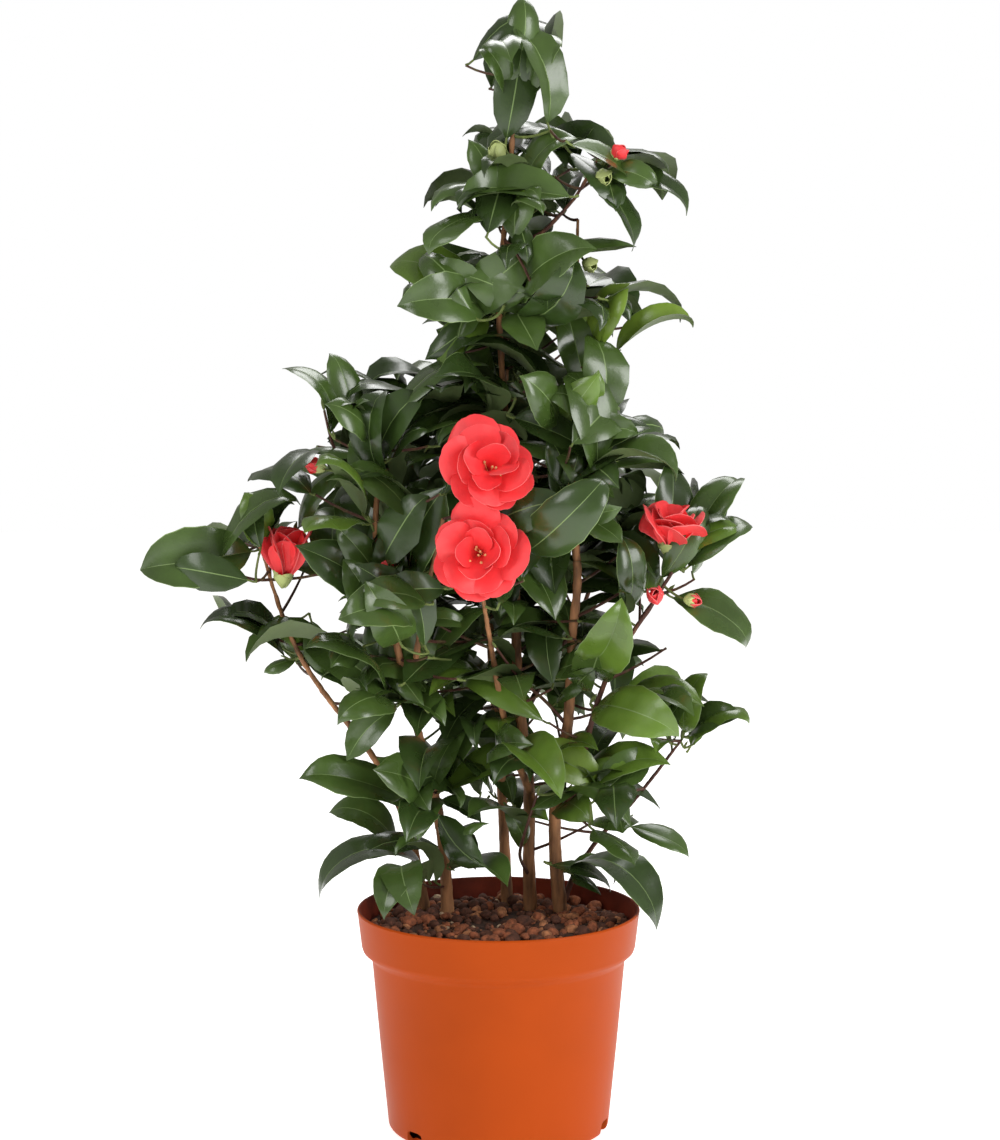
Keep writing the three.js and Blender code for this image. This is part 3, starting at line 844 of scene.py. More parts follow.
BARE_MARKS = 3  # an inner leaf with this many marks in the open is left out
BELOW_LOWEST = 0.055  # how far under the lowest leaf the closed places may reach
INNER_FRONT = -0.01  # inner leaves stay behind this y
SPARSE_BELOW, SPARSE_SHARE = 0.46, 0.45  # under this height, this share of the inner leaves is left out
MIXED_BELOW = 0.50  # under this height the inner leaves are of mixed greens; above it they are mostly deep green, painted shade inside the crown


def leaf_faces(rows, columns):
    """Faces of a leaf's closed shell and what each is: top, underside or pale rib and edge."""
    wide, low_wide = len(columns), len(UNDER_COLUMNS)
    low = (rows + 1) * wide
    middle = wide // 2 - 1
    pale = {0, middle, wide - 2} if wide > 6 else {middle}
    faces, kinds = [], []

    def under(i):
        inner = [low + i * low_wide + j for j in range(low_wide)]
        return [i * wide, *inner, i * wide + wide - 1]

    for i in range(rows):
        for j in range(wide - 1):
            a, b = i * wide + j, (i + 1) * wide + j
            faces.append((a, a + 1, b + 1, b))
            kinds.append(EDGE if j in pale else TOP)
        here, ahead = under(i), under(i + 1)
        for j in range(low_wide + 1):
            faces.append((here[j], ahead[j], ahead[j + 1], here[j + 1]))
            kinds.append(UNDER)
    first, last = under(0), under(rows)
    faces.append((*first, *range(wide - 2, 0, -1)))
    faces.append((*reversed(last), *range(rows * wide + 1, rows * wide + wide - 1)))
    kinds += [EDGE, EDGE]
    return faces, np.array(kinds)


def leaf_points(rows, columns, base, tip, normal, width, thickness, look):
    """Points of one leaf: its midrib rises and droops to the tip, its halves fold up and roll back."""
    reach = np.asarray(tip) - np.asarray(base)
    length = np.linalg.norm(reach)
    axis = reach / length
    normal = unit(normal - axis * (normal @ axis))
    side = np.cross(axis, normal)
    even = np.linspace(0, 1, rows + 1)
    t = 0.55 * even + 0.225 * (1 - np.cos(math.pi * even))
    slope = look["rise"] - (look["rise"] + look["droop"]) * t ** look["late"]
    slope -= look["curl"] * np.clip((t - 0.78) / 0.22, 0, 1)
    steps, middle = np.diff(t), (slope[1:] + slope[:-1]) / 2
    ahead = np.concatenate([[0], np.cumsum(np.cos(middle) * steps)])
    above = np.concatenate([[0], np.cumsum(np.sin(middle) * steps)])
    turn = math.atan2(above[-1], ahead[-1])
    scale = length / math.hypot(ahead[-1], above[-1])
    ahead, above = (scale * (ahead * math.cos(turn) + above * math.sin(turn)),
                    scale * (above * math.cos(turn) - ahead * math.sin(turn)))
    slope = slope - turn
    bow = length * look["sweep"] * np.sin(math.pi * t)
    midrib = np.asarray(base) + ahead[:, None] * axis + above[:, None] * normal + bow[:, None] * side
    forward = np.cos(slope)[:, None] * axis + np.sin(slope)[:, None] * normal
    upward = np.cos(slope)[:, None] * normal - np.sin(slope)[:, None] * axis
    roll = (look["twist"] * (t - 0.25))[:, None]
    sideways = np.cos(roll) * side + np.sin(roll) * upward
    upward = np.cos(roll) * upward - np.sin(roll) * side
    half = np.interp(t, OUTLINE_AT, OUTLINE)[:, None] * width / 2

    def blade(columns, drop):
        s = columns[None, :]
        size = np.abs(s)
        fold, camber = look["fold"], look["camber"]
        across = np.sign(s) * half * (math.sin(fold) - np.sin(fold - camber * size)) / camber
        up = half * (np.cos(fold - camber * size) - math.cos(fold)) / camber
        tooth = np.where(np.arange(rows + 1) % 2 == 0, 0.018, -0.018)[:, None] * (size > 0.95)
        vein = 0.012 * half * size * (1 - size) * np.where(np.arange(rows + 1) % 2 == 0, 1, -1)[:, None]
        wave = half * look["ruffle"] * size**2 * np.sin(
            2 * math.pi * (look["waves"] * t[:, None] + look["phase"]) + (s > 0) * 1.9)
        drift = 0.055 * length * size * np.sin(math.pi * t)[:, None]
        up = up + vein + wave - drop
        return (midrib[:, None] + (across * (1 + tooth))[..., None] * sideways[:, None]
                + up[..., None] * upward[:, None] + drift[..., None] * forward[:, None])

    thicker = np.where(np.abs(UNDER_COLUMNS) < 0.1, 2.0, 1.0)
    keel = thickness * thicker * np.clip(np.sin(math.pi * t), 0.3, 1)[:, None]
    return np.concatenate([blade(columns, 0).reshape(-1, 3), blade(UNDER_COLUMNS, keel).reshape(-1, 3)])


def leaf_look(rng):
    return {
        "rise": rng.uniform(0.10, 0.75),
        "droop": rng.uniform(0.35, 1.45),
        "late": rng.uniform(1.0, 2.2),
        "curl": rng.uniform(-0.2, 1.1),
        "fold": rng.uniform(0.15, 0.95),
        "camber": rng.uniform(0.40, 1.70),
        "ruffle": rng.uniform(0.03, 0.15),
        "waves": rng.uniform(0.8, 1.9),
        "phase": rng.random(),
        "sweep": rng.normal() * 0.03,
        "twist": rng.normal() * 0.40,
    }


def screen_of(names):
    """One search tree over the CAD nodes of these names."""
    points, faces, count = [], [], 0
    for name in names:
        p, f = node_mesh(name)
        points.append(p)
        faces.append(f + count)
        count += len(p)
    return BVHTree.FromPolygons(np.concatenate(points).tolist(), np.concatenate(faces).tolist())


class Foliage:
    """Grows the sprays of leaves of every mass and gathers leaves, twigs and stalks."""

    def __init__(self, leaf, wood, eye):
        self.leaf, self.wood, self.eye = leaf, wood, Vector(eye)
        self.rng = np.random.default_rng(LEAF_SEED)
        self.meshes = {name: node_mesh(name) for name in MASSES}
        self.envelope = screen_of(MASSES)
        self.blooms = screen_of(BLOOMS)
        self.batches = {}
        self.twigs = Batch()
        self.lead, self.plain = leaf_faces(LEAD_ROWS, LEAD_COLUMNS), leaf_faces(SIDE_ROWS, SIDE_COLUMNS)
        self.pot_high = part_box("pot")[1]
        self.mass = None
        self.tips = []

    def outside(self, point):
        """How far a point is outside the masses, in metres; 0 inside one."""
        place, normal, _, away = self.envelope.find_nearest(Vector(point))
        return 0.0 if (Vector(point) - place).dot(normal) < 0 else away

    def marks(self, base, tip):
        """Points all over a leaf, to test where it lies."""
        middle, flank = (base + tip) / 2, unit(np.cross(tip - base, (0.1, -0.6, 0.8))) * 0.024
        return base, tip, middle, middle + flank, middle - flank, base * 0.25 + tip * 0.75

    def hides_bloom(self, base, tip):
        """Whether a leaf lies in front of a bloom or inside it."""
        for point in self.marks(base, tip):
            sight = Vector(point) - self.eye
            hit = self.blooms.ray_cast(self.eye, sight.normalized())
            if hit[0] is not None and hit[3] + 0.030 > sight.length:
                return True
        return False

    def screened(self, base, tip):
        """Whether masses, blooms or closed places cover most of a leaf's marks, seen from the front."""
        bare = 0
        for point in self.marks(base, tip):
            if self.closed(point):
                continue
            sight = (Vector(point) - self.eye).normalized()
            bare += (self.envelope.ray_cast(self.eye, sight)[0] is None
                     and self.blooms.ray_cast(self.eye, sight)[0] is None)
        return bare < BARE_MARKS

    def closed(self, point):
        """Whether a point is in a place that inner leaves close, seen from the front."""
        return any(math.hypot((point[0] - x) / wide, (point[2] - z) / tall) < 1
                   for x, z, wide, tall in CLOSED)

    def facing(self, axis, place):
        """The way a leaf's top faces: up, and to the nearer of front and back."""
        ahead, above = (0.95, 0.35) if self.mass in FACED else (0.55, 0.82)
        outward = (0.15 * np.sign(place[0]), 0.6 if place[1] > 0.055 else -ahead, above)
        return unit(outward - axis * (np.dot(outward, axis)))

    def lobe_tips(self, name, hub):
        """The furthest points of a mass's lobes from its hub, with each lobe's width."""
        points, faces = self.meshes[name]
        away = np.linalg.norm(points - hub, axis=1)
        peak = away.copy()
        for a, b in edges_of(faces):
            peak[a] = max(peak[a], away[b])
            peak[b] = max(peak[b], away[a])
        found = [k for k in np.argsort(-away) if away[k] >= peak[k] - 1e-9 and away[k] > 0.34 * away.max()]
        tips = []
        for k in found:
            if all(np.linalg.norm(points[k] - points[m]) > LOBE_GAP for m in tips):
                tips.append(k)
        axes = [unit(points[k] - hub) for k in tips]
        lobes = []
        for k, axis in zip(tips, axes):
            offset = points - hub
            along = offset @ axis
            sideways = np.cross(axis, self.facing(axis, points[k]))
            off_axis = np.linalg.norm(offset - along[:, None] * axis, axis=1)
            others = [np.linalg.norm(offset - (offset @ o)[:, None] * o, axis=1) for o in axes]
            own = (off_axis <= np.min(others, axis=0) + 1e-9) & (along > 0.35 * away[k]) & (along < away[k])
            reach = np.abs(offset[own] @ sideways)
            lobes.append((points[k], 2.1 * float(reach.max()) if own.sum() > 2 else 0.04))
        return lobes

    # Leaves set deep in a mass (depth over a half, the filling leaves) get no bright or young green: painted
    # shade inside the mass.
    def tone(self, kind, depth):
        draw = self.rng.random()
        if kind == "mixed":
            table = (("deep", 0.42), ("mid", 0.80), ("bright", 1.0))
        else:
            other = {"deep": "mid", "mid": "deep", "bright": "mid", "young": "bright"}[kind]
            table = ((kind, 0.74), (other, 1.0))
        tone = next(t for t, limit in table if draw <= limit)
        return "mid" if depth > 0.5 and tone in ("bright", "young") else tone

    def add_leaf(self, group, base, tip, normal, width, tone, lead):
        """Adds one leaf and gives back where its blade starts."""
        look = leaf_look(self.rng)
        look["droop"] *= float(np.clip(1.0 + 0.8 * unit(tip - base)[2], 0.3, 1.3))
        base, tip, normal = self.over_lip(base, tip, normal, look)
        rows, columns = (LEAD_ROWS, LEAD_COLUMNS) if lead else (SIDE_ROWS, SIDE_COLUMNS)
        faces, kinds = self.lead if lead else self.plain
        points = leaf_points(rows, columns, base, tip, normal, width, self.leaf.thickness, look)
        kinds = np.where(kinds == TOP, TONES.index(tone), kinds + 3)
        self.batches.setdefault(group, Batch()).add(points, faces, kinds)
        return base

    def over_lip(self, base, tip, normal, look):
        """Arches a leaf that would cut the pot's wall over the lip instead."""
        radius, lip = self.pot_high[0], self.pot_high[2]
        near, far = math.hypot(*base[:2]), math.hypot(*tip[:2])
        if min(base[2], tip[2]) > lip + 0.012 or far < radius - 0.022 or near > radius:
            return base, tip, normal
        look.update(rise=1.1, droop=1.5, curl=0.2, late=1.0, fold=0.3, camber=0.35, twist=0.0)
        base = np.array((base[0], base[1], max(base[2], lip + 0.022)))
        tip = np.array((tip[0], tip[1], max(tip[2], lip - 0.016)))
        return base, tip, unit(normal + np.array((0, 0, 2.0)))

    def stalk(self, start, base, axis):
        """A short green stalk that bends from the twig into the leaf."""
        middle = (np.asarray(start) + base) / 2 - np.array((0, 0, 0.0006))
        line = [start, middle, base, np.asarray(base) + np.asarray(axis) * 0.004]
        radius = self.wood.stalk_radius
        add_tube(self.twigs, line, (radius * 1.3, radius, radius, radius * 0.5), 1, 5)

    def grow(self, name):
        limb, share, kind = MASSES[name]
        self.mass = name
        hub = LIMBS.at(limb, share)
        group = self.group_of(name)
        lobes = self.lobe_tips(name, hub)
        widest = BROAD_WIDTH if name == "far_left_leaf" else LEAD_WIDTH
        for tip, width in lobes:
            self.spray(group, hub, tip, min(width, widest), kind)
        self.fill(name, group, hub, kind)

    def fill(self, name, group, hub, kind):
        """More leaves where a mass still has room, each on a stalk towards the limb."""
        rng, leaf = self.rng, self.leaf
        points, faces = self.meshes[name]
        corners = points[faces]
        volume = abs(np.einsum("ij,ij->i", corners[:, 0], np.cross(corners[:, 1], corners[:, 2])).sum()) / 6
        own = BVHTree.FromPolygons(points.tolist(), faces.tolist())
        low, high = points.min(0), points.max(0)
        wanted = int(round(volume / leaf.room))
        taken = []
        for _ in range(wanted * 40):
            if len(taken) >= wanted:
                break
            tip = low + (high - low) * rng.random(3)
            place, normal, _, _ = own.find_nearest(Vector(tip))
            if (Vector(tip) - place).dot(normal) > 0 or any(np.linalg.norm(tip - t) < TIP_GAP for t in taken):
                continue
            axis = unit(unit(tip - hub) + rng.normal(0, 0.3, 3))
            size = float(np.clip(leaf.longest * rng.uniform(0.6, 0.95), leaf.shortest, leaf.longest))
            base = tip - axis * size
            if self.outside(base) > 0.03 or self.outside((base + tip) / 2) > STRAY:
                size *= 0.66
                base = tip - axis * size
            if (self.outside((base + tip) / 2) > STRAY or self.hides_bloom(base, tip)
                    or self.nearest_wood(base - axis * STALK)[0] > leaf.twig_run):
                continue
            taken.append(tip)
            normal = unit(self.facing(axis, tip) + rng.normal(0, 0.38, 3))
            # Filling leaves take the tone at depth 0.6, which keeps them dark: painted shade inside the mass.
            base = self.add_leaf(group, base, tip, normal, size * rng.uniform(*SLIM),
                                 self.tone(kind, 0.6), False)
            self.twig(base, axis)

    def nearest_wood(self, point):
        """How far the nearest limb or shoot is from a point, and where it is."""
        away, foot = LIMBS.nearest(point)
        near = min(self.tips, key=lambda end: np.linalg.norm(end - point), default=None)
        if near is not None and np.linalg.norm(near - point) < away:
            return np.linalg.norm(near - point), near
        return away, foot

    def twig(self, base, axis):
        """A twig from the nearest limb or shoot to a leaf's stalk."""
        shoot = base - axis * STALK
        run, foot = self.nearest_wood(shoot)
        self.tips.append(shoot)
        if run > 0.003:
            bend = self.rng.normal(0, 0.05 * run, 3) - np.array((0, 0, 0.08 * run))
            line = arc_line(foot, shoot, bend, 6)
            radius = self.wood.stalk_radius
            thick = np.linspace(radius * (1.05 + 6 * run), radius, 6)
            add_tube(self.twigs, line, thick, 0 if run > 0.035 else 1, 5)
        self.stalk(shoot, base, axis)

    def group_of(self, name):
        if name in YOUNG:
            return "young_leaves"
        low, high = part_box(name)
        if low.y > 0.02 or name.startswith("back"):
            return "leaves_back"
        if high.z > 0.70:
            return "leaves_top"
        return "leaves_west" if (low.x + high.x) / 2 < -0.02 else "leaves_east"

    def spray(self, group, hub, tip, width, kind):
        """One shoot: a twig from the limb, alternate leaves along it and a leading leaf to the lobe's tip."""
        rng, leaf = self.rng, self.leaf
        reach = np.linalg.norm(tip - hub)
        axis = (tip - hub) / reach
        width = max(width, LEAD_NARROWEST)
        length = float(np.clip(min(reach - 0.012, width / leaf.breadth * 1.06), leaf.shortest, leaf.longest))
        length = min(length, max(reach - 0.006, 0.03))
        width = min(width, length * 0.60)
        base = tip - axis * length
        if self.mass == "far_left_leaf":
            base, tip = base + np.array((0, 0, 0.006)), tip + np.array((0, 0, 0.012))
        for _ in range(3):
            if self.hides_bloom(base, tip):
                base, tip = base + np.array((0, 0.018, 0)), tip + np.array((0, 0.018, 0))
        normal = unit(self.facing(axis, tip) + rng.normal(0, 0.22, 3))
        base, tip = base - normal * 0.07 * length, tip - normal * 0.07 * length
        base = self.add_leaf(group, base, tip, normal, width, self.tone(kind, 0), True)
        away = LIMBS.nearest(base)[0]
        foot = LIMBS.nearest(base - np.array((0, 0, 0.35 * away)))[1]
        shoot = base - axis * STALK
        run = np.linalg.norm(shoot - foot)
        sag = np.array((0, 0, -0.05 * run)) + rng.normal(0, 0.02 * run, 3)
        twig = arc_line(foot, shoot, sag, 8)
        thick = self.wood.twig_radius * (0.75 + 2.2 * run)
        radii = np.linspace(thick, self.wood.stalk_radius * 1.05, 8)
        add_tube(self.twigs, twig, radii, 0 if run > 0.03 else 1, 6)
        self.stalk(shoot, base, axis)
        self.leaf_bud(shoot, unit(axis * 0.6 + (0, 0, 0.8)))
        self.tips.append(shoot)
        turn = rng.random() * 2 * math.pi
        for place in np.arange(0.012, max(run, 0.013), leaf.node_gap)[::-1]:
            here = twig[0] + (shoot - twig[0]) * (place / max(run, 1e-6))
            turn += GOLDEN_ANGLE
            self.tips.append(here)
            self.side_leaf(group, here, axis, turn, length, kind)

    def side_leaf(self, group, here, axis, turn, length, kind):
        rng, leaf = self.rng, self.leaf
        across = unit(np.cross(axis, (0.2, -0.9, 0.3)))
        other = np.cross(axis, across)
        for attempt in range(7):
            angle = turn + attempt * 0.9
            out = math.radians(rng.uniform(38, 68))
            sideways = math.cos(angle) * across + math.sin(angle) * other
            way = unit(math.cos(out) * axis + math.sin(out) * sideways - np.array((0, 0, 0.12)))
            size = float(np.clip(length * rng.uniform(0.62, 0.98), leaf.shortest, leaf.longest))
            base = here + way * STALK
            tip = base + way * size
            middle = base + way * size * 0.55
            if (self.outside(tip) < STRAY and self.outside(middle) < 0.006
                    and not self.hides_bloom(base, tip)):
                normal = unit(self.facing(way, tip) + rng.normal(0, 0.32, 3))
                base = self.add_leaf(group, base, tip, normal, size * rng.uniform(*SLIM),
                                     self.tone(kind, 0.3), False)
                self.stalk(here, base, way)
                return

    def leaf_bud(self, foot, way):
        """The slim pointed bud at a shoot's end."""
        length = self.rng.uniform(0.006, 0.013)
        line = [foot + way * length * share for share in (0, 0.25, 0.6, 0.85, 1.0)]
        add_tube(self.twigs, line, np.array((0.35, 0.95, 1.0, 0.5, 0.1)) * length * 0.15, 1, 5)

    def bare_shoots(self):
        for limb, share, steps in BARE_SHOOTS:
            foot = LIMBS.at(limb, share)
            line, shares = resample([foot, *(foot + step for step in steps)], 0.006)
            radii = self.wood.twig_radius * (1.15 - 0.45 * shares)
            add_tube(self.twigs, smooth_line(line, 4), radii, 0, 6)
            self.leaf_bud(line[-1], unit(line[-1] - line[-2]))
            self.tips.append(line[-1])

    def inner_shoots(self):
        """Shoots with their leaves all along the limbs, wherever the masses screen them from the front."""
        rng, leaf, up = self.rng, self.leaf, np.array((0, 0, 1.0))
        self.mass = None
        for line, _ in LIMBS.lines.values():
            knots, _ = resample(line, leaf.shoot_gap)
            turn = rng.random() * 2 * math.pi
            for knot in knots[2:]:
                for _ in range(2):
                    turn += GOLDEN_ANGLE
                    way = unit(np.array((math.cos(turn), math.sin(turn), 0)) + rng.uniform(-0.1, 0.6) * up)
                    end = knot + way * rng.uniform(0.012, leaf.shoot_reach)
                    grown = 0
                    for index in range(4):
                        angle = index * GOLDEN_ANGLE + turn
                        out = np.array((math.cos(angle), math.sin(angle), rng.uniform(-0.5, 0.3)))
                        axis = unit(way * 0.55 + out * 0.8)
                        size = leaf.longest * rng.uniform(0.62, 0.92)
                        base = end + axis * STALK
                        tip = base + axis * size
                        sparse = tip[2] < SPARSE_BELOW and rng.random() < SPARSE_SHARE
                        low = min(base[2], tip[2])
                        too_low = low < leaf.lowest and not self.closed((base + tip) / 2)
                        if (sparse or max(base[1], tip[1]) < INNER_FRONT or too_low
                                or low < leaf.lowest - BELOW_LOWEST or not self.within(tip)
                                or not self.screened(base, tip) or self.hides_bloom(base, tip)):
                            continue
                        normal = unit(np.array((0.35 * axis[0], 0.35 * axis[1], 1.0)) + rng.normal(0, 0.3, 3))
                        # Inner leaves above MIXED_BELOW take the deep green: painted shade inside the crown.
                        self.add_leaf("inner_leaves", base, tip, normal, size * rng.uniform(*SLIM),
                                      self.tone("mixed" if tip[2] < MIXED_BELOW else "deep", 0.3), False)
                        self.stalk(end, base, axis)
                        grown += 1
                    if grown:
                        self.tips.append(end)
                        add_tube(self.twigs, arc_line(knot, end, (0, 0, -0.002), 5),
                                 np.linspace(self.wood.twig_radius, self.wood.stalk_radius, 5), 0, 5)

    def within(self, point):
        """Whether a point keeps inside the box of the whole object."""
        low, high = CAD_BOX
        return all(low[k] + 0.004 < point[k] < high[k] - 0.004 for k in range(3))


class OBJECT_OT_camellia_foliage(bpy.types.Operator):
    """Grow twigs and leaves from the limbs into every mass of foliage"""

    bl_idname = "object.camellia_foliage"
    bl_label = "Twigs and leaves"

    def execute(self, context):
        scene = context.scene
        leaf, wood, stage = scene.camellia_leaf, scene.camellia_wood, scene.camellia_stage
        foliage = Foliage(leaf, wood, (0, -stage.camera_distance, stage.camera_height))
        foliage.bare_shoots()
        for name in MASSES:
            foliage.grow(name)
        foliage.inner_shoots()
        materials = [
            leaf_material("leaf_deep", tuple(leaf.deep), 0.28, 0.45),
            leaf_material("leaf_mid", tuple(leaf.mid), 0.28, 0.45),
            leaf_material("leaf_bright", tuple(leaf.bright), 0.30, 0.38),
            leaf_material("leaf_young", tuple(leaf.young), 0.32, 0.30),
            leaf_material("leaf_underside", tuple(leaf.under), 0.55, 0.0),
            leaf_material("leaf_rib", tuple(leaf.rib), 0.45, 0.1),
        ]
        for group, batch in foliage.batches.items():
            piece = batch.build(group, materials, 60)
            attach(piece, "root")
            if group != "inner_leaves":
                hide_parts(*(name for name in MASSES if foliage.group_of(name) == group))
        young = tuple(wood.young_colour)
        shoot = tuple(wood.shoot_colour)
        twigs = foliage.twigs.build("twigs", [
            bark_material("twig_skin", young, shade(young, 0.6), blend_colours(young, shoot, 0.35)),
            bark_material("green_shoot", shoot, shade(shoot, 0.7), shade(shoot, 1.3)),
        ], 60)
        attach(twigs, "root")
        return {"FINISHED"}


# ---------------------------------------------------------------- blooms


def across_of(face):
    """Two directions square to the way a bloom faces."""
    side = unit(np.cross(face, (0.3, 0.2, 1.0) if abs(face[2]) < 0.7 else (1, 0.2, 0)))
    return side, np.cross(face, side)


def petal_faces(rows, wide):
    low = (rows + 1) * (wide + 1)
    faces, kinds = [], []
    step = wide + 1
    for i in range(rows):
        for j in range(wide):
            a, b = i * step + j, (i + 1) * step + j
            faces += [(a, a + 1, b + 1, b), (low + a, low + b, low + b + 1, low + a + 1)]
            kinds += [0, 0]
        left, left_up, right, right_up = i * step, (i + 1) * step, i * step + wide, (i + 1) * step + wide
        faces += [(left, left_up, low + left_up, low + left), (right_up, right, low + right, low + right_up)]
        kinds += [1, 1]
    end = rows * step
    for j in range(wide):
        faces += [(j + 1, j, low + j, low + j + 1), (end + j, end + j + 1, low + end + j + 1, low + end + j)]
        kinds += [0, 1]
    return np.array(faces), np.array(kinds)


PETAL_AT = np.array([0, 0.15, 0.3, 0.45, 0.6, 0.72, 0.83, 0.92, 1.0])
PETAL_WIDTH = np.array([0.20, 0.38, 0.62, 0.84, 0.98, 1.0, 0.96, 0.86, 0.68])


def petal_points(rng, rows, wide, root, face, radial, length, width, lean, spread, cup, tilt, thick):
    """One petal that leaves root near face, bends out along radial and lifts one edge by tilt."""
    t = np.linspace(0, 1, rows + 1)
    angle = lean + (spread - lean) * np.clip(t * 1.15, 0, 1) ** 0.8 + rng.normal() * 0.05
    step = length / rows
    out = np.concatenate([[0], np.cumsum((np.sin(angle[1:]) + np.sin(angle[:-1])) / 2 * step)])
    up = np.concatenate([[0], np.cumsum((np.cos(angle[1:]) + np.cos(angle[:-1])) / 2 * step)])
    sideways = np.cross(radial, face)
    s = np.linspace(-1, 1, wide + 1)[None, :]
    tt = t[:, None]
    half = np.interp(tt, PETAL_AT, PETAL_WIDTH) * width / 2
    across = s * half
    notch = -0.02 * length * np.exp(-(s / 0.25) ** 2) * np.clip((tt - 0.8) / 0.2, 0, 1)
    rounding = -0.11 * length * s**2 * np.clip((tt - 0.55) / 0.45, 0, 1)
    ripple = half * 0.05 * np.sin(2.0 * math.pi * (tt + rng.random())) * np.abs(s) ** 3
    hollow = cup * half * s**2 + tilt * across * np.clip(tt * 1.6, 0, 1) + ripple
    along_out = np.sin(angle)[:, None] * (notch + rounding) - np.cos(angle)[:, None] * hollow
    along_up = np.cos(angle)[:, None] * (notch + rounding) + np.sin(angle)[:, None] * hollow
    o = out[:, None] + along_out
    u = up[:, None] + along_up
    top = root + o[..., None] * radial + u[..., None] * face + across[..., None] * sideways
    inner = -np.cos(angle)[:, None, None] * radial + np.sin(angle)[:, None, None] * face
    low = top - thick * np.broadcast_to(inner, top.shape)
    return np.concatenate([top.reshape(-1, 3), low.reshape(-1, 3)])


